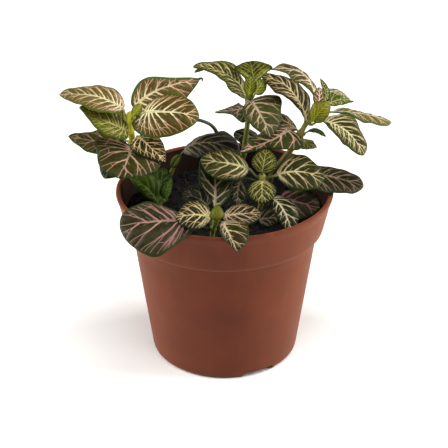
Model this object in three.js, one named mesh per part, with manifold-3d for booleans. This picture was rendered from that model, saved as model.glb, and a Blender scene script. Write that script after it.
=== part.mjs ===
// Nerve plant (Fittonia) in a round nursery pot. Millimetres, +Z up, front of the plant towards -Y,
// origin at the middle of the underside of the pot.
import * as THREE from 'three';
import { mergeVertices } from 'three/addons/utils/BufferGeometryUtils.js';
import Module from 'manifold-3d';

// ---- pot
const RIM_R = 60;          // outer radius of the lip
const MOUTH_R = 57.4;      // inner radius at the mouth
const POT_H = 99;          // height of the rim
const LIP_Z = 95.6;        // underside of the lip
const COLLAR_TOP_R = 58.9; // outside of the collar just under the lip
const COLLAR_LOW_R = 55.4; // outside of the collar near its lower edge
const COLLAR_Z = 75.7;     // lower edge of the collar
const BODY_TOP_R = 51.7;   // outside of the tapering body under the collar
const BASE_R = 41;         // outside of the body at the ground
const WALL = 1.5;
const FLOOR = 2.2;
const CHANNEL_W = 19;      // drain channels under the floor
const CHANNEL_H = 3.1;
const CHANNEL_FROM = 9;    // radius at which a channel starts
const CHANNEL_ANGLES = [-62, 58, 178];
const DRAIN_R = 3.4;       // drain hole in the roof of each channel
const DRAIN_AT = 25;
const POT_SEGMENTS = 48;

// ---- soil
const SOIL_Z = 85;         // level of the soil at the wall
const SOIL_GAP = 0.3;      // clearance between the soil plug and the pot
const SOIL_SEGMENTS = 36;
const STEM_GAP = 0.35;     // clearance between a stem and its hole in the soil

// ---- leaves and stems
const LEAF_T = 0.9;        // thickness of a blade at its midrib
const PETIOLE_R = 0.75;
const DOME = 0.09;         // doming of each half of a blade, as a share of its width
const RINGS = [0.035, 0.12, 0.26, 0.44, 0.63, 0.81, 0.945]; // sections of a blade from base to tip

// name, age, petiole start, its direction there, blade base, middle of midrib, tip, direction to the left margin, direction to the right margin,
// left outline, right outline (log width: constant, base power, tip power, two waves), how far the lobes at the base reach
// back on each side, which way the upper face looks
const LEAVES = [
  ['a_left_top', 'm', [-52.33,-8.52,143.11], [-0.945,-0.282,0.166], [-54.44,-7.68,149.71], [-70.15,-4.58,155.6], [-88.56,-1.57,154.89], [0.196,0.976,0.096], [-0.228,-0.921,-0.315], [3.353,0.608,0.64,0.19,0.058], [3.218,0.552,0.753,0.078,-0.017], [0.12,0.12], 1],
  ['a_right_front', 'm', [-48.62,-9.03,142.9], [0.847,-0.528,0.061], [-42.6,-10.96,148.83], [-28.38,-14.97,150.89], [-13.36,-14.37,147.74], [0.127,0.853,0.506], [-0.1,-0.657,-0.747], [3.331,0.576,0.596,-0.011,0.016], [3.332,0.363,0.638,0.02,-0.004], [0.1,0.55], -1],
  ['a_left_mid', 'm', [-51.77,-9.26,137], [-0.651,-0.722,-0.237], [-52.92,-10.98,138.66], [-64.72,-11.79,144.85], [-77.57,-7.66,150.57], [0.246,0.917,0.315], [-0.267,-0.892,-0.364], [3.273,0.396,0.626,-0.001,0.056], [2.788,0.305,0.844,0.104,-0.11], [0.2,0.25], 1],
  ['a_back_top', 'm', [-49.61,-5.41,145.77], [0.252,0.893,0.374], [-48.37,-1.02,147.61], [-35.43,6.8,154.52], [-13.38,13.14,157.99], [-0.468,0.31,0.827], [0.439,-0.214,-0.872], [3.027,0.682,0.908,0.288,-0.121], [3.483,0.542,0.762,-0.098,0.029], [0.22,0.42], -1],
  ['a_left_low', 'm', [-51.41,-2.81,127.91], [-0.878,0.467,0.109], [-54.67,-0.57,127.38], [-70.03,1.25,126.54], [-85.17,1.6,129.37], [0.088,0.963,0.253], [-0.089,-0.953,-0.291], [3.21,0.577,0.835,0.14,-0.021], [3.12,0.34,0.814,-0.057,0.018], [0.12,0.12], 1],
  ['a_right_low', 'm', [-47.93,-5.55,128.67], [0.83,-0.536,-0.151], [-46.47,-9.66,134.24], [-39.86,-15.91,130.95], [-31.55,-20.54,124.3], [0.696,0.642,0.321], [-0.705,-0.528,-0.473], [2.966,0.619,0.755,-0.041,-0.041], [2.697,0.306,0.731,0.043,0.003], [0.12,0.12], -1],
  ['a_front_low', 'm', [-48.86,-2.55,120.34], [-0.135,-0.853,-0.504], [-50.69,-9.26,127.55], [-51.77,-20.52,125.47], [-56.1,-34.87,121.83], [-0.973,0.148,0.179], [0.968,-0.141,-0.207], [3.376,0.28,0.383,0.106,0.049], [3.555,0.377,0.694,-0.047,-0.049], [0.45,0.15], 1],
  ['a_under_low', 'm', [-50.98,-1.22,123.91], [-0.932,0.363,0.026], [-52.7,0.47,122.11], [-60.88,-2.83,115.84], [-65.01,-9.84,108.96], [-0.701,0.686,0.195], [0.746,-0.589,-0.312], [3.306,0.881,0.882,0.03,-0.097], [3.057,0.446,0.545,0.009,0.041], [0.12,0.12], 1],
  ['a_young', 'y', [-49.63,-9.48,144.44], [0.303,-0.915,0.266], [-48.64,-10.95,147.38], [-46.53,-9.23,149.81], [-44.48,-5.61,151.53], [-0.83,0.273,0.486], [0.674,0.056,-0.736], [1.786,0.55,0.6,0,0], [1.868,0.55,0.6,0,0], [0.12,0.12], -1],
  ['b_left_top', 'm', [12.27,16.54,141.68], [-0.556,0.821,0.129], [11.56,17.53,144.63], [2.35,23.82,155.31], [-17.38,26.38,160.16], [0.432,0.88,0.199], [-0.305,-0.951,0.049], [3.122,0.737,0.731,-0.27,-0.197], [2.84,0.28,0.508,0.234,0.039], [0.02,0.02], 1],
  ['b_crown_back', 'y', [14.26,16.09,145.86], [0.469,0.883,0.028], [15.23,16.85,149.67], [15.44,20.35,156.75], [14.03,37.08,158.49], [-0.999,-0.047,-0.007], [0.999,0.032,0.034], [2.473,0.592,0.3,-0.265,0.151], [2.64,0.802,0.313,-0.424,0.06], [0.02,0.02], -1],
  ['b_crown_front', 'y', [13.64,13.13,148.6], [-0.097,-0.915,0.392], [13.14,8.39,150.63], [13.67,9.73,155.33], [13.68,13.3,159.96], [-0.869,0.457,-0.19], [0.867,0.419,-0.27], [2.095,0.5,0.5,0,0], [2.087,0.5,0.5,0,0], [0.12,0.12], -1],
  ['b_crown_right', 'y', [14.86,13.61,146.98], [0.762,-0.632,-0.141], [16.46,12.42,149.78], [18.87,12.22,153.69], [21.63,16.22,157], [-0.717,0.659,0.226], [0.841,-0.238,-0.486], [2.228,0.5,0.6,0,0], [2.104,0.5,0.6,0,0], [0.12,0.12], -1],
  ['b_left_low', 'm', [12.23,13.84,141.38], [-0.58,-0.812,-0.056], [10.85,11.65,142.49], [6.14,8.53,141.72], [-5.8,4.36,142.37], [-0.377,0.789,0.484], [0.305,-0.621,-0.722], [2.053,0.28,0.865,0.02,-0.02], [2.625,0.772,0.804,0.637,-0.335], [0.02,0.02], 1],
  ['b_front_low', 'm', [13.46,13.39,142.84], [0.102,-0.987,-0.127], [13.77,11.83,145.61], [19.53,-1.14,142.45], [24.2,-11.73,135.19], [-0.925,-0.35,-0.149], [0.925,0.355,0.135], [3.087,0.629,0.759,0.024,0.028], [3.246,0.28,0.723,0.054,0.069], [0.12,0.12], 1],
  ['b_curl', 'y', [-6.43,27.07,157.82], [-0.966,0.259,0.022], [-8.63,27.66,157.87], [-12.21,28.77,157.83], [-16.56,24.84,156.79], [-0.356,0.889,0.289], [0.351,-0.922,-0.165], [1.062,0.5,0.5,0,0], [1.507,0.5,0.5,0,0], [0.12,0.12], 1],
  ['c_left', 'm', [44.2,5.43,136.01], [-0.516,-0.826,0.226], [44.06,3.56,138], [35.38,10.86,152.51], [19.69,15.32,158.84], [0.498,0.866,0.04], [-0.557,-0.821,-0.126], [3.37,0.835,0.743,0.278,0.053], [2.924,0.824,0.574,-0.28,-0.05], [0.12,0.12], 1],
  ['c_back_top', 'm', [48.7,7.51,141.71], [0.131,0.88,0.457], [49.88,15.44,145.83], [41.92,26.44,156], [25.71,27.21,157.46], [0.47,0.877,-0.098], [-0.621,-0.71,-0.333], [2.126,0.614,0.412,-0.443,0.562], [3.17,0.875,0.978,-0.078,-0.251], [0.12,0.12], 1],
  ['c_young_front', 'y', [46.39,4.94,137.81], [-0.049,-0.996,-0.072], [47.35,-0.65,139.29], [51.1,-2.85,145.84], [56.12,2.4,149.39], [-0.619,0.683,0.388], [0.754,0.175,-0.633], [2.716,0.543,0.713,-0.113,0.022], [2.253,0.28,0.45,-0.034,0.024], [0.12,0.12], -1],
  ['c_spike_up', 'y', [50.55,6.16,143.59], [0.707,0.104,0.699], [54.53,6.74,147.52], [54.53,9.38,152.55], [51.4,14.64,158.24], [-0.327,0.775,-0.541], [0.56,-0.659,0.502], [2.512,0.6,1,0,0], [2.289,0.6,1,0,0], [0.12,0.12], -1],
  ['c_spike_right', 'y', [49.27,6.15,139.4], [0.831,-0.064,-0.552], [56.63,5.13,146.75], [62.52,8.9,147.47], [70.19,9.44,146.35], [-0.34,0.922,0.184], [0.295,-0.805,-0.515], [2.286,0.597,0.724,0.815,-0.458], [2.003,0.376,0.731,-0.095,-0.018], [0.12,0.12], -1],
  ['c_up_pink', 'm', [49.14,8.37,143.8], [0.748,0.623,0.23], [50.99,9.91,144.37], [51.6,12.99,148.07], [51.44,17.12,151.62], [-0.895,0.355,-0.27], [0.899,0.277,-0.339], [2.119,0.5,0.6,0,0], [2.139,0.5,0.6,0,0], [0.12,0.12], -1],
  ['c_right_back', 'm', [47.82,7.83,139.41], [0.216,0.976,-0.037], [54.88,17.26,146.24], [61.04,20.25,147.63], [69.27,17.83,143.02], [-0.184,0.964,-0.193], [0.158,-0.979,-0.128], [2.884,0.5,0.7,0,0], [2.637,0.5,0.7,0,0], [0.12,0.12], -1],
  ['c_right_long', 'm', [46.58,7.66,135.82], [0.691,0.624,-0.365], [58.79,14.26,138.01], [74.13,13.88,137.28], [91.08,8.84,134.15], [0.121,0.977,-0.173], [-0.16,-0.965,-0.207], [2.059,0.709,0.302,0.972,0.389], [2.553,0.995,0.3,-0.248,-0.152], [0.12,0.12], -1],
  ['c_right_low', 'm', [45.89,5.59,134.99], [0.546,-0.729,-0.412], [52.57,0.98,138.85], [65.7,-6.47,135.43], [74.93,-14.03,125.35], [0.545,0.838,0.001], [-0.625,-0.725,-0.289], [3.611,0.755,0.758,0.312,0.073], [2.939,0.94,0.497,0.071,-0.032], [0.12,0.12], -1],
  ['c_mid_back', 'm', [41.15,9.32,128.17], [-0.198,0.956,0.216], [39.8,13.45,127.57], [32.64,15.75,131.95], [24.97,17.95,133.98], [0.372,0.906,0.203], [-0.388,-0.887,-0.25], [2.726,0.923,0.679,-0.046,0.025], [3.124,0.919,0.732,-0.009,-0.043], [0.12,0.12], 1],
  ['c_thin', 'm', [43.09,7.51,127.19], [0.93,-0.097,-0.354], [44.44,7.15,128.93], [49.79,5.83,130.73], [55.18,3.14,127.77], [0.31,0.909,-0.279], [-0.331,-0.942,-0.058], [2.478,0.28,0.791,0.006,0.044], [2.034,0.773,0.706,0.064,0.046], [0.12,0.12], -1],
  ['c_left_low', 'm', [39.1,7.85,126.5], [-0.921,-0.088,0.38], [34.72,6.95,130.82], [25.61,-2.17,128.72], [8.3,-2.93,121.9], [-0.447,0.885,0.128], [0.488,-0.731,-0.476], [2.92,0.424,0.582,-0.129,0.023], [2.761,0.28,0.796,0.352,0.077], [0.1,0.24], 1],
  ['c_right_stub', 'm', [42.33,6.28,127.28], [0.491,-0.817,-0.302], [42.89,4.7,125.19], [45.52,4.15,123.7], [50.38,2.22,122.19], [0.259,0.96,-0.103], [-0.338,-0.935,-0.103], [2.62,0.541,0.722,-0.184,-0.083], [2.619,0.28,0.722,-0.014,0.009], [0.02,0.02], -1],
  ['d_left', 'm', [18.81,-14.73,112.37], [-0.994,0.05,-0.094], [12.51,-15.33,117.94], [0.15,-17.56,122.29], [-12.99,-15.01,122.85], [0.059,0.931,0.36], [-0.12,-0.774,-0.622], [2.993,0.542,0.481,0.105,-0.039], [3.317,0.65,0.738,-0.053,0.01], [0.12,0.12], 1],
  ['d_right', 'm', [21.62,-15.13,112.59], [0.971,-0.229,0.065], [28.1,-16.96,114.85], [40.27,-19.81,118.02], [53.44,-20.65,114.27], [0.129,0.876,0.466], [-0.11,-0.787,-0.608], [3.386,0.709,0.7,0.085,-0.05], [3.387,0.824,0.593,0.052,0.012], [0.12,0.12], -1],
  ['d_back', 'y2', [20.06,-15.83,115.02], [-0.02,-0.596,0.803], [20.02,-17.08,116.7], [21.04,-16.38,122.32], [22.54,-7.83,125.69], [-0.974,0.221,0.059], [0.975,-0.046,-0.219], [2.568,0.45,0.5,0,0], [2.642,0.45,0.5,0,0], [0.12,0.12], -1],
  ['d_front', 'y2', [20.29,-16.13,111.61], [-0.021,-0.989,-0.148], [20,-19.89,112.7], [19.88,-26.61,110.66], [19.81,-32.63,105.65], [-0.986,0.09,-0.143], [0.986,0.066,-0.155], [2.716,0.45,0.5,0,0], [2.723,0.45,0.5,0,0], [0.12,0.12], 1],
  ['d_front_right', 'm', [21.58,-15.16,105.39], [0.538,-0.837,-0.098], [25.73,-21.42,102.96], [32.27,-29.5,98.34], [36.2,-37.37,87.68], [0.823,0.568,-0.006], [-0.879,-0.439,-0.184], [3.001,0.481,0.795,-0.056,-0.021], [2.856,0.802,0.809,0.061,0.028], [0.12,0.12], -1],
  ['d_front_left', 'm', [19.05,-14.26,109.99], [-0.988,0.132,-0.081], [8.55,-12.82,108.92], [6.92,-16.49,104.09], [7.44,-21.09,98.56], [0.94,0.216,-0.266], [-0.91,-0.274,0.31], [2.585,0.62,0.6,0,0], [2.387,0.62,0.6,0,0], [0,0], -1],
  ['d_right_far', 'm', [28.8,11.78,101.33], [0.602,-0.671,-0.432], [40.38,2.15,104.92], [59.04,1,104.87], [76.28,-2.46,100.44], [0.135,0.965,0.227], [-0.14,-0.944,-0.298], [3.131,0.732,0.578,0.083,0.113], [3.319,0.569,0.516,0.107,0.028], [0.12,0.12], -1],
  ['d_right_low', 'm', [21.6,-12.1,96.22], [0.891,0.439,-0.119], [30.82,-7.98,97.08], [42.27,-10.53,94.38], [52.06,-12.57,92.66], [0.288,0.783,0.552], [-0.287,-0.792,-0.538], [2.95,0.56,0.507,-0.027,-0.001], [3.302,0.677,0.742,0.088,-0.052], [0.12,0.12], -1],
  ['d_soil', 'm', [18.04,-13.73,87.09], [-0.005,-0.999,-0.053], [18.39,-20.88,89.91], [22.97,-19.83,89.98], [29.76,-19.45,90.7], [-0.135,0.933,0.335], [0.138,-0.852,-0.505], [2.798,0.6,0.55,0,0], [2.53,0.6,0.55,0,0], [0,0.02], -1],
  ['e_left', 'm', [-5.66,-46.32,103.74], [-0.851,-0.524,0.024], [-7.71,-48.05,105.58], [-16.02,-50.23,107.89], [-25.67,-50.83,106.74], [-0.106,0.881,0.461], [0.075,-0.787,-0.613], [3.109,0.504,0.777,-0.049,0.004], [3.012,0.672,0.575,0.036,-0.035], [0.12,0.12], 1],
  ['e_right', 'm', [-3.06,-45.06,103.6], [0.936,0.346,-0.067], [-0.39,-44.17,103.86], [8.52,-46.22,106.4], [18.78,-44.08,106.18], [-0.009,0.983,0.186], [0.056,-0.857,-0.512], [2.919,0.5,0.55,0,0], [2.744,0.5,0.55,0,0], [0.12,0.12], -1],
  ['e_front', 'm', [-4.38,-46.13,99.93], [0.391,-0.848,-0.357], [-1.17,-51.99,104.4], [2.7,-64.08,102.89], [6.29,-70.43,97.27], [-0.839,-0.152,-0.522], [0.939,0.328,0.104], [2.046,0.316,0.834,0.006,-0.034], [3.083,0.429,0.565,0.063,0.029], [0.12,0.12], 1],
  ['e_back', 'm', [-4.63,-43.87,102.69], [-0.003,0.979,0.204], [-5.19,-29.71,102.06], [-5.22,-19.51,110.72], [-6.32,-8.38,123.27], [-0.999,-0.001,-0.044], [0.997,0.067,-0.023], [2.92,0.912,0.321,0.051,-0.051], [3.272,0.771,0.679,-0.021,0.013], [0.12,0.12], -1],
  ['e_bud', 'y', [-4.5,-46.91,102.91], [-0.001,-0.983,-0.185], [-4.04,-51.14,105.31], [-4.29,-51.18,108.68], [-3.78,-46.09,111.92], [-0.785,0.506,-0.357], [0.834,0.423,-0.356], [2.241,0.5,0.5,0,0], [2.356,0.5,0.5,0,0], [0.02,0.02], -1],
  ['e_left_big', 'm', [-7.59,-43.64,96.26], [-0.964,-0.236,0.122], [-19.21,-48.89,104.25], [-35.87,-51.03,104.49], [-55.11,-49.47,101.01], [-0.065,0.878,0.474], [0.071,-0.814,-0.576], [3.146,0.733,0.319,-0.052,-0.077], [3.878,0.705,0.656,-0.074,-0.07], [0.1,0.25], 1],
  ['e_left_back', 'm', [-6.7,-41.65,96], [-0.342,0.886,0.314], [-9.42,-33.68,104.69], [-14.8,-28.13,106.65], [-22.8,-27.14,108.54], [0.542,0.737,0.404], [-0.539,-0.787,-0.3], [2.639,0.5,0.6,0,0], [2.792,0.5,0.6,0,0], [0.12,0.12], 1],
  ['g_left', 'g', [-35.56,7.56,86.51], [0.097,-0.995,-0.03], [-36.87,-1.83,90.56], [-42.76,-1.68,99.44], [-52.12,0.88,104.31], [0.528,0.74,0.417], [-0.612,-0.592,-0.524], [3.047,0.603,0.566,0.058,0.008], [2.635,0.767,0.839,0.036,0.034], [0.12,0.12], 1],
  ['g_right', 'g', [-35.12,7.78,87.72], [0.466,-0.868,0.169], [-32.13,-1.67,93.27], [-32.06,-1.4,98.07], [-29.06,2.57,103.48], [-0.969,0.16,0.187], [0.787,0.492,-0.371], [2.073,0.5,0.6,0,0], [2.058,0.5,0.6,0,0], [0.12,0.12], -1],
  ['g_back', 'g', [-36.87,11.86,89.06], [0.026,0.996,0.09], [-36.4,15.12,88.57], [-35.91,20.06,93.66], [-33.77,25.91,98.34], [-0.985,0.159,0.061], [0.978,-0.02,-0.21], [2.538,0.5,0.6,0,0], [2.655,0.5,0.6,0,0], [0.12,0.12], -1],
  ['k_arch', 'd', [-26.75,36.48,98.45], [0.421,-0.417,0.805], [-23.09,32.85,105.45], [-10.54,30.3,112.19], [8.66,28.99,106.27], [0.13,0.991,0.029], [-0.098,-0.952,-0.291], [3.278,0.838,0.3,-0.116,0.09], [3.569,0.825,0.733,0.09,-0.016], [0.12,0.12], -1],
  ['k_bud', 'y', [-30.6,33.98,92.02], [-0.146,-0.91,0.389], [-29.72,33.22,94.94], [-27.91,32.19,99.86], [-24.43,31.48,104.09], [-0.854,0.17,0.492], [0.834,-0.241,-0.496], [1.659,0.5,0.6,0,0], [1.726,0.5,0.6,0,0], [0.05,0.05], -1],
  ['k_small', 'd', [11.59,21.98,109.46], [0.619,0.785,0.028], [18.77,29.67,114.03], [12.01,30.72,116.03], [5.24,29.55,115.95], [0.026,0.969,0.246], [-0.044,-0.929,-0.368], [2.601,0.5,0.5,0,0], [2.736,0.5,0.5,0,0], [0.02,0.02], 1],
];

// name, radius at the root, radius at the top, centre line
const STEMS = [
  ['stem_left', 2.00, 1.75, [[-32.4,10.38,70.93], [-33.35,10.22,78.33], [-35.24,9.88,85.5], [-38.53,9.28,92.16], [-41.55,8.31,98.91], [-44.38,7.05,105.7], [-46.57,4.56,112.36], [-48.06,0.89,118.67], [-49.2,-2.62,125.15], [-49.99,-5.69,131.91], [-50.48,-8.08,138.94], [-50.04,-7,146.21]]],
  ['stem_centre_back', 1.90, 1.20, [[7.67,22.85,70.77], [7.77,22.76,77.87], [7.94,22.6,84.98], [8.25,22.34,92.07], [8.85,21.81,99.12], [9.91,20.92,106.09], [10.87,19.88,113.06], [11.66,18.44,119.97], [12.3,17.04,126.91], [12.77,16.07,133.93], [13.16,15.24,140.97], [13.79,14.5,148.01]]],
  ['stem_right', 2.00, 1.20, [[22.28,15.15,71.15], [22.61,15.03,78.29], [23.18,14.82,85.4], [24.15,14.45,92.47], [26.06,13.73,99.27], [29.26,12.53,105.54], [32.92,11.26,111.54], [36.77,9.92,117.4], [39.79,8.43,123.7], [42.37,7.37,130.27], [45.6,6.65,136.58], [49.49,6,142.54]]],
  ['stem_centre_front', 1.60, 1.10, [[16.94,-11.4,70.74], [17.1,-11.48,74.71], [17.31,-11.57,78.67], [17.59,-11.71,82.63], [17.98,-11.88,86.58], [18.67,-12.2,90.47], [19.64,-12.62,94.3], [20.36,-13.04,98.18], [20.68,-13.47,102.12], [20.74,-13.91,106.06], [20.52,-14.43,109.99], [20.09,-15,113.9]]],
  ['stem_front', 1.50, 1.10, [[-7.28,-41.03,71.9], [-7.23,-41.12,75.1], [-7.17,-41.24,78.29], [-7.08,-41.39,81.49], [-6.98,-41.57,84.68], [-6.85,-41.82,87.87], [-6.65,-42.2,91.04], [-6.35,-42.75,94.17], [-5.78,-43.65,97.18], [-5.05,-44.72,100.11], [-4.5,-45.47,103.17], [-4.05,-46,106.29]]],
  ['stem_back_left', 1.30, 0.95, [[-36.07,30.37,71.59], [-35.8,30.62,74.16], [-35.46,30.91,76.71], [-35.06,31.26,79.25], [-34.57,31.69,81.76], [-33.84,32.33,84.15], [-32.83,33.25,86.35], [-31.81,34.15,88.56], [-30.75,35,90.77], [-29.63,35.72,92.99], [-28.45,36.36,95.21], [-27.28,37,97.44]]],
  ['stem_arching', 1.30, 0.90, [[-0.62,38.78,70.9], [-0.7,39.71,78.95], [-0.83,41.41,86.87], [-1.14,45.15,93.9], [-2.12,48.9,100.87], [-3.9,47.98,108.55], [-5.61,43,114.66], [-7.44,36.94,119.72], [-9.47,30.43,124.1], [-11.8,23.79,128.1], [-14.62,17.2,131.89], [-18.99,11,134.68]]],
];

const COLOURS = {
  m: 0x4d5a2c, // mature leaf
  y: 0x8d9a2e, // youngest leaves
  y2: 0x6f7f30,
  g: 0x4f8a2f, // plain green leaves low in the pot
  d: 0x3c3a30, // shaded leaf at the back
};

const V = (a) => new THREE.Vector3(a[0], a[1], a[2]);
const material = (name, color, roughness) => {
  const m = new THREE.MeshStandardMaterial({ color, roughness, metalness: 0 });
  m.name = name;
  return m;
};
const MAT = {
  pot: material('terracotta_plastic', 0xa8593b, 0.55),
  soil: material('potting_soil', 0x1d1814, 1.0),
  stem: material('stem_skin', 0x6a7436, 0.6),
};
for (const k of Object.keys(COLOURS)) MAT[k] = material('leaf_' + k, COLOURS[k], 0.5);

// rings of equal point count -> one closed body, ends closed on their own middle points
function loft(rings, startPoint, endPoint) {
  const n = rings[0].length;
  const pos = [];
  for (const r of rings) for (const p of r) pos.push(p.x, p.y, p.z);
  const a = pos.length / 3;
  pos.push(startPoint.x, startPoint.y, startPoint.z, endPoint.x, endPoint.y, endPoint.z);
  const idx = [];
  for (let i = 0; i < rings.length - 1; i++)
    for (let j = 0; j < n; j++) {
      const k = (j + 1) % n;
      const p = i * n + j, q = i * n + k, r = (i + 1) * n + k, s = (i + 1) * n + j;
      idx.push(p, q, r, p, r, s);
    }
  const last = (rings.length - 1) * n;
  for (let j = 0; j < n; j++) {
    const k = (j + 1) % n;
    idx.push(a, k, j);
    idx.push(a + 1, last + j, last + k);
  }
  // outward winding: flip when the signed volume is negative
  let vol = 0;
  const g3 = (i) => new THREE.Vector3(pos[3 * i], pos[3 * i + 1], pos[3 * i + 2]);
  for (let i = 0; i < idx.length; i += 3) vol += g3(idx[i]).dot(g3(idx[i + 1]).cross(g3(idx[i + 2])));
  if (vol < 0) for (let i = 0; i < idx.length; i += 3) [idx[i + 1], idx[i + 2]] = [idx[i + 2], idx[i + 1]];
  const g = new THREE.BufferGeometry();
  g.setAttribute('position', new THREE.Float32BufferAttribute(pos, 3));
  g.setIndex(idx);
  g.computeVertexNormals();
  return g;
}

const bezier = (a, c, b, u) =>
  a.clone().multiplyScalar((1 - u) * (1 - u)).addScaledVector(c, 2 * u * (1 - u)).addScaledVector(b, u * u);
const bezierTangent = (a, c, b, u) =>
  c.clone().sub(a).multiplyScalar(2 * (1 - u)).addScaledVector(b.clone().sub(c), 2 * u).normalize();
const halfWidth = (k, u) =>
  Math.exp(k[0] + k[1] * Math.log(u) + k[2] * Math.log(1 - u) + k[3] * Math.sin(2 * Math.PI * u) + k[4] * Math.sin(3 * Math.PI * u));
const across = (dir, t) => dir.clone().addScaledVector(t, -dir.dot(t)).normalize();

function leafGeometry(row) {
  const [, , s, out, b, m, tip, sl, sr, kl, kr, cord, up] = row;
  const S = V(s), B = V(b), T = V(tip);
  const C = V(m).multiplyScalar(2).addScaledVector(B, -0.5).addScaledVector(T, -0.5);
  const SL = V(sl), SR = V(sr);
  let wL = 0, wR = 0;
  for (let u = 0.02; u < 0.99; u += 0.02) { wL = Math.max(wL, halfWidth(kl, u)); wR = Math.max(wR, halfWidth(kr, u)); }
  const rings = [];
  // petiole
  const t0 = bezierTangent(B, C, T, 0);
  const reach = S.distanceTo(B);
  const P1 = S.clone().addScaledVector(V(out), 0.38 * reach), P2 = B.clone().addScaledVector(t0, -0.38 * reach);
  const stalk = new THREE.CubicBezierCurve3(S, P1, P2, B);
  const steps = reach > 9 ? 4 : reach > 4 ? 3 : 2;
  const n0 = new THREE.Vector3().crossVectors(t0, SR.clone().sub(SL)).normalize().multiplyScalar(up);
  let y = n0;
  for (let i = steps; i >= 0; i--) {
    const f = (i / steps) * 0.97;
    const c = stalk.getPoint(f), t = stalk.getTangent(f);
    y = across(y, t);
    const x = new THREE.Vector3().crossVectors(y, t).multiplyScalar(up);
    const r = PETIOLE_R * (i === 0 ? 0.9 : 1);
    const ring = [];
    for (let j = 0; j < 8; j++) {
      const a = Math.PI - (j * Math.PI) / 4; // starts at the left edge and goes over the upper face
      ring.push(c.clone().addScaledVector(x, r * Math.cos(a)).addScaledVector(y, r * Math.sin(a)));
    }
    rings.unshift(ring);
  }
  // blade
  const point = (u, v) => {
    const c = bezier(B, C, T, u), t = bezierTangent(B, C, T, u);
    const right = v >= 0, a = Math.abs(v);
    const sd = across(right ? SR : SL, t);
    const w = halfWidth(right ? kr : kl, u), wm = right ? wR : wL;
    const n = new THREE.Vector3().crossVectors(t, SR.clone().sub(SL)).normalize().multiplyScalar(up);
    const round = 1 - Math.pow(1 - Math.min((2.4 * w) / wm, 1), 2);
    const back = (right ? cord[1] : cord[0]) * wm * Math.pow(a, 1.5) * Math.pow(1 - u, 3) * round;
    const lift = DOME * wm * Math.sin(Math.PI * a) * Math.pow(Math.sin(Math.PI * u), 0.6);
    return c.addScaledVector(sd, w * a).addScaledVector(t, -back).addScaledVector(n, lift);
  };
  for (const u of RINGS) {
    const t = bezierTangent(B, C, T, u);
    const n = new THREE.Vector3().crossVectors(t, SR.clone().sub(SL)).normalize().multiplyScalar(up);
    const h = LEAF_T / 2;
    const ring = [];
    for (const v of [-1, -0.5, 0, 0.5]) ring.push(point(u, v).addScaledVector(n, v === -1 ? 0 : h * (1 - 0.35 * Math.abs(v))));
    for (const v of [1, 0.5, 0, -0.5]) ring.push(point(u, v).addScaledVector(n, v === 1 ? 0 : -h * (1 - 0.35 * Math.abs(v))));
    rings.push(ring);
  }
  return loft(rings, S.clone().lerp(rings[0][0], 0.0), T);
}

function stemGeometry(row) {
  const [, r0, r1, pts] = row;
  const P = pts.map(V);
  const rings = [];
  let ref = new THREE.Vector3(1, 0, 0);
  P.forEach((p, i) => {
    const t = P[Math.min(i + 1, P.length - 1)].clone().sub(P[Math.max(i - 1, 0)]).normalize();
    const x = across(ref, t), y = new THREE.Vector3().crossVectors(t, x);
    ref = x;
    const r = r0 + ((r1 - r0) * i) / (P.length - 1);
    const ring = [];
    for (let j = 0; j < 8; j++) {
      const a = (j * Math.PI) / 4;
      ring.push(p.clone().addScaledVector(x, r * Math.cos(a)).addScaledVector(y, r * Math.sin(a)));
    }
    rings.push(ring);
  });
  const end = P[P.length - 1].clone().addScaledVector(P[P.length - 1].clone().sub(P[P.length - 2]).normalize(), r1 * 0.6);
  return loft(rings, P[0].clone(), end);
}

// ---- solids that need cutting
const wasm = await Module();
wasm.setup();
const toGeometry = (man) => {
  const mesh = man.getMesh();
  const g = new THREE.BufferGeometry();
  const pos = [];
  for (let i = 0; i < mesh.numVert; i++)
    pos.push(mesh.vertProperties[i * mesh.numProp], mesh.vertProperties[i * mesh.numProp + 1], mesh.vertProperties[i * mesh.numProp + 2]);
  g.setAttribute('position', new THREE.Float32BufferAttribute(pos, 3));
  g.setIndex(Array.from(mesh.triVerts));
  g.computeVertexNormals();
  return g;
};
const toManifold = (source) => {
  let g = source.clone();
  g.deleteAttribute('normal');
  g.deleteAttribute('uv');
  g = mergeVertices(g, 1e-4);
  const p = g.attributes.position.array, idx = g.index.array, keep = [];
  for (let i = 0; i < idx.length; i += 3) {
    const [a, b, c] = [idx[i], idx[i + 1], idx[i + 2]];
    if (a !== b && b !== c && a !== c) keep.push(a, b, c);
  }
  let vol = 0;
  const at = (i) => new THREE.Vector3(p[3 * i], p[3 * i + 1], p[3 * i + 2]);
  for (let i = 0; i < keep.length; i += 3) vol += at(keep[i]).dot(at(keep[i + 1]).cross(at(keep[i + 2])));
  if (vol < 0) for (let i = 0; i < keep.length; i += 3) [keep[i + 1], keep[i + 2]] = [keep[i + 2], keep[i + 1]];
  return new wasm.Manifold(new wasm.Mesh({ numProp: 3, vertProperties: new Float32Array(p), triVerts: new Uint32Array(keep) }));
};
const lathe = (profile, segments) =>
  new THREE.LatheGeometry(profile.map(([r, z]) => new THREE.Vector2(r, z)), segments).rotateX(Math.PI / 2);

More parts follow.
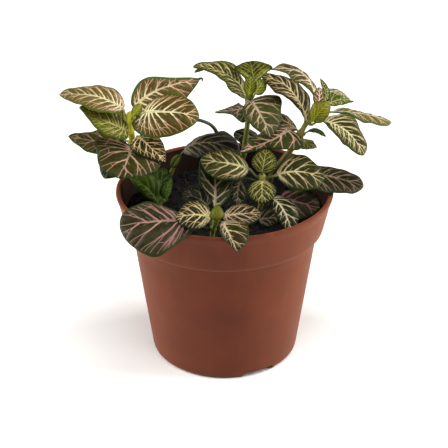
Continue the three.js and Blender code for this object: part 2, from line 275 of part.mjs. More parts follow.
const BODY_IN_TOP = BODY_TOP_R - WALL, BASE_IN = BASE_R - WALL;
function potGeometry() {
  const profile = [
    [0, 0], [BASE_R - 2.6, 0], [BASE_R - 1.1, 0.5], [BASE_R - 0.1, 1.9], [BASE_R + 0.3, 4],
    [BODY_TOP_R, COLLAR_Z], [COLLAR_LOW_R - 1.9, COLLAR_Z], [COLLAR_LOW_R - 0.7, COLLAR_Z + 0.9], [COLLAR_LOW_R, COLLAR_Z + 3.4],
    [COLLAR_TOP_R, LIP_Z - 0.8], [RIM_R - 0.3, LIP_Z], [RIM_R, LIP_Z + 0.8], [RIM_R, POT_H - 0.7], [RIM_R - 0.7, POT_H],
    [MOUTH_R + 0.6, POT_H], [MOUTH_R, POT_H - 0.6], [MOUTH_R - 0.1, LIP_Z],
    [COLLAR_LOW_R - WALL, COLLAR_Z + 4], [BODY_IN_TOP, COLLAR_Z + 1.2], [BASE_IN + 0.6, FLOOR + 4.5], [BASE_IN - 1.2, FLOOR + 1.2], [BASE_IN - 3.2, FLOOR], [0, FLOOR],
  ];
  let pot = toManifold(lathe(profile, POT_SEGMENTS));
  const inside = toManifold(lathe([[0, 0.4], [BASE_R - 0.9, 0.4], [BASE_R - 0.4, 7], [0, 7]], POT_SEGMENTS));
  const turn = (g, deg) => g.rotateZ(THREE.MathUtils.degToRad(deg));
  for (const deg of CHANNEL_ANGLES) {
    // raised roof of the channel, inside the pot
    const from = CHANNEL_FROM - WALL, roof = CHANNEL_H + 1.5;
    const box = new THREE.BoxGeometry(60 - from, CHANNEL_W + 2 * WALL, roof).translate((60 + from) / 2, 0, 0.4 + roof / 2);
    pot = pot.add(toManifold(turn(box, deg)).intersect(inside));
  }
  for (const deg of CHANNEL_ANGLES) {
    // the channel, open below and through the foot of the wall
    const w = CHANNEL_W / 2, h = CHANNEL_H;
    const section = new THREE.Shape([[-w, -1], [w, -1], [w, h * 0.5], [w - 0.6, h * 0.85], [w - 1.8, h], [1.8 - w, h], [0.6 - w, h * 0.85], [-w, h * 0.5]].map(([x, y]) => new THREE.Vector2(x, y)));
    const slot = new THREE.ExtrudeGeometry(section, { depth: 60, bevelEnabled: false }).rotateX(Math.PI / 2).rotateZ(Math.PI / 2).translate(CHANNEL_FROM, 0, 0);
    pot = pot.subtract(toManifold(turn(slot, deg)));
    const drain = new THREE.CylinderGeometry(DRAIN_R, DRAIN_R, 12, 20).rotateX(Math.PI / 2).translate(DRAIN_AT, 0, 5);
    pot = pot.subtract(toManifold(turn(drain, deg)));
  }
  return toGeometry(pot);
}

function soilGeometry() {
  const g = SOIL_GAP;
  const z0 = CHANNEL_H + 1.9 + g;
  const wallAt = (z) => BASE_IN + 0.6 + ((BODY_IN_TOP - BASE_IN - 0.6) * (z - FLOOR - 4.5)) / (COLLAR_Z + 1.2 - FLOOR - 4.5);
  const profile = [
    [0, z0], [BASE_IN - 1.4 - g, z0], [wallAt(9) - g, 9], [BODY_IN_TOP - g - 0.1, COLLAR_Z + 1.0],
    [COLLAR_LOW_R - WALL - g - 0.2, COLLAR_Z + 4.1], [COLLAR_LOW_R - WALL + 1.0 - g, SOIL_Z - 0.8], [COLLAR_LOW_R - WALL - 0.6, SOIL_Z],
    [46, SOIL_Z - 0.5], [30, SOIL_Z + 0.2], [14, SOIL_Z - 0.2], [0, SOIL_Z],
  ];
  let soil = toManifold(lathe(profile, SOIL_SEGMENTS));
  for (const row of STEMS) {
    const [name, r0, r1, pts] = row;
    soil = soil.subtract(toManifold(stemGeometry([name, r0 + STEM_GAP, r1 + STEM_GAP, [[pts[0][0], pts[0][1], pts[0][2] - 0.6], ...pts.slice(1)]])));
  }
  return toGeometry(soil);
}

const plant = new THREE.Group();
plant.name = 'potted_nerve_plant';
const add = (name, geometry, mat) => {
  const mesh = new THREE.Mesh(geometry, mat.clone());
  mesh.name = name;
  plant.add(mesh);
};
add('pot', potGeometry(), MAT.pot);
add('soil', soilGeometry(), MAT.soil);
for (const row of STEMS) add(row[0], stemGeometry(row), MAT.stem);
for (const row of LEAVES) add('leaf_' + row[0], leafGeometry(row), MAT[row[1]]);

export default plant;
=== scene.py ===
"""Looks of the potted nerve plant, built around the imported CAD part.
Leaves are thin closed blades meshed along their own vein networks; shoots, pot and soil are fine meshes
that stand for the plain CAD solids of the same name. Lengths in the tables are millimetres."""
import math

import bmesh
import bpy
import numpy as np
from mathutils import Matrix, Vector, geometry, noise


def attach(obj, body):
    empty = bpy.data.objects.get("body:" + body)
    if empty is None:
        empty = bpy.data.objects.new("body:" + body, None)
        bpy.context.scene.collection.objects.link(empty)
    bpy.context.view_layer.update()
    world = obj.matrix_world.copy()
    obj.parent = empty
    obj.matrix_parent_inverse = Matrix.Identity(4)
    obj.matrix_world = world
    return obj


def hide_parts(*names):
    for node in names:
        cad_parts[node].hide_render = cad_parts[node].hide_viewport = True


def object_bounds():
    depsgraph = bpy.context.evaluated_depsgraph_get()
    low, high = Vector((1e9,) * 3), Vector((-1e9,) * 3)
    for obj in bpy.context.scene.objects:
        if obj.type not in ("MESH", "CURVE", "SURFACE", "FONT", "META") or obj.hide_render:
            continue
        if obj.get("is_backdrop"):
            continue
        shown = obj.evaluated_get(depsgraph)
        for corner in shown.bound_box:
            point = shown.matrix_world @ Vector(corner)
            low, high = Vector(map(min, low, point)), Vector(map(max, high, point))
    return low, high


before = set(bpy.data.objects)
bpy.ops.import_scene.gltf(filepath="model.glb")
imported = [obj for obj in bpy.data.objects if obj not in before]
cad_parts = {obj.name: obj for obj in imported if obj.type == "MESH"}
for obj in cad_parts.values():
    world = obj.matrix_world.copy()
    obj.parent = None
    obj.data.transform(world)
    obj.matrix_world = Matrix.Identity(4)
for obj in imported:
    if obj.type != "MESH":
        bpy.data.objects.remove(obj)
cad_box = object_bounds()
MM = 0.001

# ---------------------------------------------------------------- tables
# the same leaf and stem rows as the CAD source: name, age, petiole start, its direction, blade base, middle of the
# midrib, tip, direction to the left margin, to the right margin, left outline, right outline, basal lobes, upper side
LEAVES = [
    ['a_left_top', 'm', [-52.33,-8.52,143.11], [-0.945,-0.282,0.166], [-54.44,-7.68,149.71], [-70.15,-4.58,155.6], [-88.56,-1.57,154.89], [0.196,0.976,0.096], [-0.228,-0.921,-0.315], [3.353,0.608,0.64,0.19,0.058], [3.218,0.552,0.753,0.078,-0.017], [0.12,0.12], 1],
    ['a_right_front', 'm', [-48.62,-9.03,142.9], [0.847,-0.528,0.061], [-42.6,-10.96,148.83], [-28.38,-14.97,150.89], [-13.36,-14.37,147.74], [0.127,0.853,0.506], [-0.1,-0.657,-0.747], [3.331,0.576,0.596,-0.011,0.016], [3.332,0.363,0.638,0.02,-0.004], [0.1,0.55], -1],
    ['a_left_mid', 'm', [-51.77,-9.26,137], [-0.651,-0.722,-0.237], [-52.92,-10.98,138.66], [-64.72,-11.79,144.85], [-77.57,-7.66,150.57], [0.246,0.917,0.315], [-0.267,-0.892,-0.364], [3.273,0.396,0.626,-0.001,0.056], [2.788,0.305,0.844,0.104,-0.11], [0.2,0.25], 1],
    ['a_back_top', 'm', [-49.61,-5.41,145.77], [0.252,0.893,0.374], [-48.37,-1.02,147.61], [-35.43,6.8,154.52], [-13.38,13.14,157.99], [-0.468,0.31,0.827], [0.439,-0.214,-0.872], [3.027,0.682,0.908,0.288,-0.121], [3.483,0.542,0.762,-0.098,0.029], [0.22,0.42], -1],
    ['a_left_low', 'm', [-51.41,-2.81,127.91], [-0.878,0.467,0.109], [-54.67,-0.57,127.38], [-70.03,1.25,126.54], [-85.17,1.6,129.37], [0.088,0.963,0.253], [-0.089,-0.953,-0.291], [3.21,0.577,0.835,0.14,-0.021], [3.12,0.34,0.814,-0.057,0.018], [0.12,0.12], 1],
    ['a_right_low', 'm', [-47.93,-5.55,128.67], [0.83,-0.536,-0.151], [-46.47,-9.66,134.24], [-39.86,-15.91,130.95], [-31.55,-20.54,124.3], [0.696,0.642,0.321], [-0.705,-0.528,-0.473], [2.966,0.619,0.755,-0.041,-0.041], [2.697,0.306,0.731,0.043,0.003], [0.12,0.12], -1],
    ['a_front_low', 'm', [-48.86,-2.55,120.34], [-0.135,-0.853,-0.504], [-50.69,-9.26,127.55], [-51.77,-20.52,125.47], [-56.1,-34.87,121.83], [-0.973,0.148,0.179], [0.968,-0.141,-0.207], [3.376,0.28,0.383,0.106,0.049], [3.555,0.377,0.694,-0.047,-0.049], [0.45,0.15], 1],
    ['a_under_low', 'm', [-50.98,-1.22,123.91], [-0.932,0.363,0.026], [-52.7,0.47,122.11], [-60.88,-2.83,115.84], [-65.01,-9.84,108.96], [-0.701,0.686,0.195], [0.746,-0.589,-0.312], [3.306,0.881,0.882,0.03,-0.097], [3.057,0.446,0.545,0.009,0.041], [0.12,0.12], 1],
    ['a_young', 'y', [-49.63,-9.48,144.44], [0.303,-0.915,0.266], [-48.64,-10.95,147.38], [-46.53,-9.23,149.81], [-44.48,-5.61,151.53], [-0.83,0.273,0.486], [0.674,0.056,-0.736], [1.786,0.55,0.6,0,0], [1.868,0.55,0.6,0,0], [0.12,0.12], -1],
    ['b_left_top', 'm', [12.27,16.54,141.68], [-0.556,0.821,0.129], [11.56,17.53,144.63], [2.35,23.82,155.31], [-17.38,26.38,160.16], [0.432,0.88,0.199], [-0.305,-0.951,0.049], [3.122,0.737,0.731,-0.27,-0.197], [2.84,0.28,0.508,0.234,0.039], [0.02,0.02], 1],
    ['b_crown_back', 'y', [14.26,16.09,145.86], [0.469,0.883,0.028], [15.23,16.85,149.67], [15.44,20.35,156.75], [14.03,37.08,158.49], [-0.999,-0.047,-0.007], [0.999,0.032,0.034], [2.473,0.592,0.3,-0.265,0.151], [2.64,0.802,0.313,-0.424,0.06], [0.02,0.02], -1],
    ['b_crown_front', 'y', [13.64,13.13,148.6], [-0.097,-0.915,0.392], [13.14,8.39,150.63], [13.67,9.73,155.33], [13.68,13.3,159.96], [-0.869,0.457,-0.19], [0.867,0.419,-0.27], [2.095,0.5,0.5,0,0], [2.087,0.5,0.5,0,0], [0.12,0.12], -1],
    ['b_crown_right', 'y', [14.86,13.61,146.98], [0.762,-0.632,-0.141], [16.46,12.42,149.78], [18.87,12.22,153.69], [21.63,16.22,157], [-0.717,0.659,0.226], [0.841,-0.238,-0.486], [2.228,0.5,0.6,0,0], [2.104,0.5,0.6,0,0], [0.12,0.12], -1],
    ['b_left_low', 'm', [12.23,13.84,141.38], [-0.58,-0.812,-0.056], [10.85,11.65,142.49], [6.14,8.53,141.72], [-5.8,4.36,142.37], [-0.377,0.789,0.484], [0.305,-0.621,-0.722], [2.053,0.28,0.865,0.02,-0.02], [2.625,0.772,0.804,0.637,-0.335], [0.02,0.02], 1],
    ['b_front_low', 'm', [13.46,13.39,142.84], [0.102,-0.987,-0.127], [13.77,11.83,145.61], [19.53,-1.14,142.45], [24.2,-11.73,135.19], [-0.925,-0.35,-0.149], [0.925,0.355,0.135], [3.087,0.629,0.759,0.024,0.028], [3.246,0.28,0.723,0.054,0.069], [0.12,0.12], 1],
    ['b_curl', 'y', [-6.43,27.07,157.82], [-0.966,0.259,0.022], [-8.63,27.66,157.87], [-12.21,28.77,157.83], [-16.56,24.84,156.79], [-0.356,0.889,0.289], [0.351,-0.922,-0.165], [1.062,0.5,0.5,0,0], [1.507,0.5,0.5,0,0], [0.12,0.12], 1],
    ['c_left', 'm', [44.2,5.43,136.01], [-0.516,-0.826,0.226], [44.06,3.56,138], [35.38,10.86,152.51], [19.69,15.32,158.84], [0.498,0.866,0.04], [-0.557,-0.821,-0.126], [3.37,0.835,0.743,0.278,0.053], [2.924,0.824,0.574,-0.28,-0.05], [0.12,0.12], 1],
    ['c_back_top', 'm', [48.7,7.51,141.71], [0.131,0.88,0.457], [49.88,15.44,145.83], [41.92,26.44,156], [25.71,27.21,157.46], [0.47,0.877,-0.098], [-0.621,-0.71,-0.333], [2.126,0.614,0.412,-0.443,0.562], [3.17,0.875,0.978,-0.078,-0.251], [0.12,0.12], 1],
    ['c_young_front', 'y', [46.39,4.94,137.81], [-0.049,-0.996,-0.072], [47.35,-0.65,139.29], [51.1,-2.85,145.84], [56.12,2.4,149.39], [-0.619,0.683,0.388], [0.754,0.175,-0.633], [2.716,0.543,0.713,-0.113,0.022], [2.253,0.28,0.45,-0.034,0.024], [0.12,0.12], -1],
    ['c_spike_up', 'y', [50.55,6.16,143.59], [0.707,0.104,0.699], [54.53,6.74,147.52], [54.53,9.38,152.55], [51.4,14.64,158.24], [-0.327,0.775,-0.541], [0.56,-0.659,0.502], [2.512,0.6,1,0,0], [2.289,0.6,1,0,0], [0.12,0.12], -1],
    ['c_spike_right', 'y', [49.27,6.15,139.4], [0.831,-0.064,-0.552], [56.63,5.13,146.75], [62.52,8.9,147.47], [70.19,9.44,146.35], [-0.34,0.922,0.184], [0.295,-0.805,-0.515], [2.286,0.597,0.724,0.815,-0.458], [2.003,0.376,0.731,-0.095,-0.018], [0.12,0.12], -1],
    ['c_up_pink', 'm', [49.14,8.37,143.8], [0.748,0.623,0.23], [50.99,9.91,144.37], [51.6,12.99,148.07], [51.44,17.12,151.62], [-0.895,0.355,-0.27], [0.899,0.277,-0.339], [2.119,0.5,0.6,0,0], [2.139,0.5,0.6,0,0], [0.12,0.12], -1],
    ['c_right_back', 'm', [47.82,7.83,139.41], [0.216,0.976,-0.037], [54.88,17.26,146.24], [61.04,20.25,147.63], [69.27,17.83,143.02], [-0.184,0.964,-0.193], [0.158,-0.979,-0.128], [2.884,0.5,0.7,0,0], [2.637,0.5,0.7,0,0], [0.12,0.12], -1],
    ['c_right_long', 'm', [46.58,7.66,135.82], [0.691,0.624,-0.365], [58.79,14.26,138.01], [74.13,13.88,137.28], [91.08,8.84,134.15], [0.121,0.977,-0.173], [-0.16,-0.965,-0.207], [2.059,0.709,0.302,0.972,0.389], [2.553,0.995,0.3,-0.248,-0.152], [0.12,0.12], -1],
    ['c_right_low', 'm', [45.89,5.59,134.99], [0.546,-0.729,-0.412], [52.57,0.98,138.85], [65.7,-6.47,135.43], [74.93,-14.03,125.35], [0.545,0.838,0.001], [-0.625,-0.725,-0.289], [3.611,0.755,0.758,0.312,0.073], [2.939,0.94,0.497,0.071,-0.032], [0.12,0.12], -1],
    ['c_mid_back', 'm', [41.15,9.32,128.17], [-0.198,0.956,0.216], [39.8,13.45,127.57], [32.64,15.75,131.95], [24.97,17.95,133.98], [0.372,0.906,0.203], [-0.388,-0.887,-0.25], [2.726,0.923,0.679,-0.046,0.025], [3.124,0.919,0.732,-0.009,-0.043], [0.12,0.12], 1],
    ['c_thin', 'm', [43.09,7.51,127.19], [0.93,-0.097,-0.354], [44.44,7.15,128.93], [49.79,5.83,130.73], [55.18,3.14,127.77], [0.31,0.909,-0.279], [-0.331,-0.942,-0.058], [2.478,0.28,0.791,0.006,0.044], [2.034,0.773,0.706,0.064,0.046], [0.12,0.12], -1],
    ['c_left_low', 'm', [39.1,7.85,126.5], [-0.921,-0.088,0.38], [34.72,6.95,130.82], [25.61,-2.17,128.72], [8.3,-2.93,121.9], [-0.447,0.885,0.128], [0.488,-0.731,-0.476], [2.92,0.424,0.582,-0.129,0.023], [2.761,0.28,0.796,0.352,0.077], [0.1,0.24], 1],
    ['c_right_stub', 'm', [42.33,6.28,127.28], [0.491,-0.817,-0.302], [42.89,4.7,125.19], [45.52,4.15,123.7], [50.38,2.22,122.19], [0.259,0.96,-0.103], [-0.338,-0.935,-0.103], [2.62,0.541,0.722,-0.184,-0.083], [2.619,0.28,0.722,-0.014,0.009], [0.02,0.02], -1],
    ['d_left', 'm', [18.81,-14.73,112.37], [-0.994,0.05,-0.094], [12.51,-15.33,117.94], [0.15,-17.56,122.29], [-12.99,-15.01,122.85], [0.059,0.931,0.36], [-0.12,-0.774,-0.622], [2.993,0.542,0.481,0.105,-0.039], [3.317,0.65,0.738,-0.053,0.01], [0.12,0.12], 1],
    ['d_right', 'm', [21.62,-15.13,112.59], [0.971,-0.229,0.065], [28.1,-16.96,114.85], [40.27,-19.81,118.02], [53.44,-20.65,114.27], [0.129,0.876,0.466], [-0.11,-0.787,-0.608], [3.386,0.709,0.7,0.085,-0.05], [3.387,0.824,0.593,0.052,0.012], [0.12,0.12], -1],
    ['d_back', 'y2', [20.06,-15.83,115.02], [-0.02,-0.596,0.803], [20.02,-17.08,116.7], [21.04,-16.38,122.32], [22.54,-7.83,125.69], [-0.974,0.221,0.059], [0.975,-0.046,-0.219], [2.568,0.45,0.5,0,0], [2.642,0.45,0.5,0,0], [0.12,0.12], -1],
    ['d_front', 'y2', [20.29,-16.13,111.61], [-0.021,-0.989,-0.148], [20,-19.89,112.7], [19.88,-26.61,110.66], [19.81,-32.63,105.65], [-0.986,0.09,-0.143], [0.986,0.066,-0.155], [2.716,0.45,0.5,0,0], [2.723,0.45,0.5,0,0], [0.12,0.12], 1],
    ['d_front_right', 'm', [21.58,-15.16,105.39], [0.538,-0.837,-0.098], [25.73,-21.42,102.96], [32.27,-29.5,98.34], [36.2,-37.37,87.68], [0.823,0.568,-0.006], [-0.879,-0.439,-0.184], [3.001,0.481,0.795,-0.056,-0.021], [2.856,0.802,0.809,0.061,0.028], [0.12,0.12], -1],
    ['d_front_left', 'm', [19.05,-14.26,109.99], [-0.988,0.132,-0.081], [8.55,-12.82,108.92], [6.92,-16.49,104.09], [7.44,-21.09,98.56], [0.94,0.216,-0.266], [-0.91,-0.274,0.31], [2.585,0.62,0.6,0,0], [2.387,0.62,0.6,0,0], [0,0], -1],
    ['d_right_far', 'm', [28.8,11.78,101.33], [0.602,-0.671,-0.432], [40.38,2.15,104.92], [59.04,1,104.87], [76.28,-2.46,100.44], [0.135,0.965,0.227], [-0.14,-0.944,-0.298], [3.131,0.732,0.578,0.083,0.113], [3.319,0.569,0.516,0.107,0.028], [0.12,0.12], -1],
    ['d_right_low', 'm', [21.6,-12.1,96.22], [0.891,0.439,-0.119], [30.82,-7.98,97.08], [42.27,-10.53,94.38], [52.06,-12.57,92.66], [0.288,0.783,0.552], [-0.287,-0.792,-0.538], [2.95,0.56,0.507,-0.027,-0.001], [3.302,0.677,0.742,0.088,-0.052], [0.12,0.12], -1],
    ['d_soil', 'm', [18.04,-13.73,87.09], [-0.005,-0.999,-0.053], [18.39,-20.88,89.91], [22.97,-19.83,89.98], [29.76,-19.45,90.7], [-0.135,0.933,0.335], [0.138,-0.852,-0.505], [2.798,0.6,0.55,0,0], [2.53,0.6,0.55,0,0], [0,0.02], -1],
    ['e_left', 'm', [-5.66,-46.32,103.74], [-0.851,-0.524,0.024], [-7.71,-48.05,105.58], [-16.02,-50.23,107.89], [-25.67,-50.83,106.74], [-0.106,0.881,0.461], [0.075,-0.787,-0.613], [3.109,0.504,0.777,-0.049,0.004], [3.012,0.672,0.575,0.036,-0.035], [0.12,0.12], 1],
    ['e_right', 'm', [-3.06,-45.06,103.6], [0.936,0.346,-0.067], [-0.39,-44.17,103.86], [8.52,-46.22,106.4], [18.78,-44.08,106.18], [-0.009,0.983,0.186], [0.056,-0.857,-0.512], [2.919,0.5,0.55,0,0], [2.744,0.5,0.55,0,0], [0.12,0.12], -1],
    ['e_front', 'm', [-4.38,-46.13,99.93], [0.391,-0.848,-0.357], [-1.17,-51.99,104.4], [2.7,-64.08,102.89], [6.29,-70.43,97.27], [-0.839,-0.152,-0.522], [0.939,0.328,0.104], [2.046,0.316,0.834,0.006,-0.034], [3.083,0.429,0.565,0.063,0.029], [0.12,0.12], 1],
    ['e_back', 'm', [-4.63,-43.87,102.69], [-0.003,0.979,0.204], [-5.19,-29.71,102.06], [-5.22,-19.51,110.72], [-6.32,-8.38,123.27], [-0.999,-0.001,-0.044], [0.997,0.067,-0.023], [2.92,0.912,0.321,0.051,-0.051], [3.272,0.771,0.679,-0.021,0.013], [0.12,0.12], -1],
    ['e_bud', 'y', [-4.5,-46.91,102.91], [-0.001,-0.983,-0.185], [-4.04,-51.14,105.31], [-4.29,-51.18,108.68], [-3.78,-46.09,111.92], [-0.785,0.506,-0.357], [0.834,0.423,-0.356], [2.241,0.5,0.5,0,0], [2.356,0.5,0.5,0,0], [0.02,0.02], -1],
    ['e_left_big', 'm', [-7.59,-43.64,96.26], [-0.964,-0.236,0.122], [-19.21,-48.89,104.25], [-35.87,-51.03,104.49], [-55.11,-49.47,101.01], [-0.065,0.878,0.474], [0.071,-0.814,-0.576], [3.146,0.733,0.319,-0.052,-0.077], [3.878,0.705,0.656,-0.074,-0.07], [0.1,0.25], 1],
    ['e_left_back', 'm', [-6.7,-41.65,96], [-0.342,0.886,0.314], [-9.42,-33.68,104.69], [-14.8,-28.13,106.65], [-22.8,-27.14,108.54], [0.542,0.737,0.404], [-0.539,-0.787,-0.3], [2.639,0.5,0.6,0,0], [2.792,0.5,0.6,0,0], [0.12,0.12], 1],
    ['g_left', 'g', [-35.56,7.56,86.51], [0.097,-0.995,-0.03], [-36.87,-1.83,90.56], [-42.76,-1.68,99.44], [-52.12,0.88,104.31], [0.528,0.74,0.417], [-0.612,-0.592,-0.524], [3.047,0.603,0.566,0.058,0.008], [2.635,0.767,0.839,0.036,0.034], [0.12,0.12], 1],
    ['g_right', 'g', [-35.12,7.78,87.72], [0.466,-0.868,0.169], [-32.13,-1.67,93.27], [-32.06,-1.4,98.07], [-29.06,2.57,103.48], [-0.969,0.16,0.187], [0.787,0.492,-0.371], [2.073,0.5,0.6,0,0], [2.058,0.5,0.6,0,0], [0.12,0.12], -1],
    ['g_back', 'g', [-36.87,11.86,89.06], [0.026,0.996,0.09], [-36.4,15.12,88.57], [-35.91,20.06,93.66], [-33.77,25.91,98.34], [-0.985,0.159,0.061], [0.978,-0.02,-0.21], [2.538,0.5,0.6,0,0], [2.655,0.5,0.6,0,0], [0.12,0.12], -1],
    ['k_arch', 'd', [-26.75,36.48,98.45], [0.421,-0.417,0.805], [-23.09,32.85,105.45], [-10.54,30.3,112.19], [8.66,28.99,106.27], [0.13,0.991,0.029], [-0.098,-0.952,-0.291], [3.278,0.838,0.3,-0.116,0.09], [3.569,0.825,0.733,0.09,-0.016], [0.12,0.12], -1],
    ['k_bud', 'y', [-30.6,33.98,92.02], [-0.146,-0.91,0.389], [-29.72,33.22,94.94], [-27.91,32.19,99.86], [-24.43,31.48,104.09], [-0.854,0.17,0.492], [0.834,-0.241,-0.496], [1.659,0.5,0.6,0,0], [1.726,0.5,0.6,0,0], [0.05,0.05], -1],
    ['k_small', 'd', [11.59,21.98,109.46], [0.619,0.785,0.028], [18.77,29.67,114.03], [12.01,30.72,116.03], [5.24,29.55,115.95], [0.026,0.969,0.246], [-0.044,-0.929,-0.368], [2.601,0.5,0.5,0,0], [2.736,0.5,0.5,0,0], [0.02,0.02], 1],
]
# name, root radius, top radius, centre line
STEMS = [
    ['stem_left', 2.00, 1.75, [[-32.4,10.38,70.93], [-33.35,10.22,78.33], [-35.24,9.88,85.5], [-38.53,9.28,92.16], [-41.55,8.31,98.91], [-44.38,7.05,105.7], [-46.57,4.56,112.36], [-48.06,0.89,118.67], [-49.2,-2.62,125.15], [-49.99,-5.69,131.91], [-50.48,-8.08,138.94], [-50.04,-7,146.21]]],
    ['stem_centre_back', 1.90, 1.20, [[7.67,22.85,70.77], [7.77,22.76,77.87], [7.94,22.6,84.98], [8.25,22.34,92.07], [8.85,21.81,99.12], [9.91,20.92,106.09], [10.87,19.88,113.06], [11.66,18.44,119.97], [12.3,17.04,126.91], [12.77,16.07,133.93], [13.16,15.24,140.97], [13.79,14.5,148.01]]],
    ['stem_right', 2.00, 1.20, [[22.28,15.15,71.15], [22.61,15.03,78.29], [23.18,14.82,85.4], [24.15,14.45,92.47], [26.06,13.73,99.27], [29.26,12.53,105.54], [32.92,11.26,111.54], [36.77,9.92,117.4], [39.79,8.43,123.7], [42.37,7.37,130.27], [45.6,6.65,136.58], [49.49,6,142.54]]],
    ['stem_centre_front', 1.60, 1.10, [[16.94,-11.4,70.74], [17.1,-11.48,74.71], [17.31,-11.57,78.67], [17.59,-11.71,82.63], [17.98,-11.88,86.58], [18.67,-12.2,90.47], [19.64,-12.62,94.3], [20.36,-13.04,98.18], [20.68,-13.47,102.12], [20.74,-13.91,106.06], [20.52,-14.43,109.99], [20.09,-15,113.9]]],
    ['stem_front', 1.50, 1.10, [[-7.28,-41.03,71.9], [-7.23,-41.12,75.1], [-7.17,-41.24,78.29], [-7.08,-41.39,81.49], [-6.98,-41.57,84.68], [-6.85,-41.82,87.87], [-6.65,-42.2,91.04], [-6.35,-42.75,94.17], [-5.78,-43.65,97.18], [-5.05,-44.72,100.11], [-4.5,-45.47,103.17], [-4.05,-46,106.29]]],
    ['stem_back_left', 1.30, 0.95, [[-36.07,30.37,71.59], [-35.8,30.62,74.16], [-35.46,30.91,76.71], [-35.06,31.26,79.25], [-34.57,31.69,81.76], [-33.84,32.33,84.15], [-32.83,33.25,86.35], [-31.81,34.15,88.56], [-30.75,35,90.77], [-29.63,35.72,92.99], [-28.45,36.36,95.21], [-27.28,37,97.44]]],
    ['stem_arching', 1.30, 0.90, [[-0.62,38.78,70.9], [-0.7,39.71,78.95], [-0.83,41.41,86.87], [-1.14,45.15,93.9], [-2.12,48.9,100.87], [-3.9,47.98,108.55], [-5.61,43,114.66], [-7.44,36.94,119.72], [-9.47,30.43,124.1], [-11.8,23.79,128.1], [-14.62,17.2,131.89], [-18.99,11,134.68]]],
]
DOME = 0.09

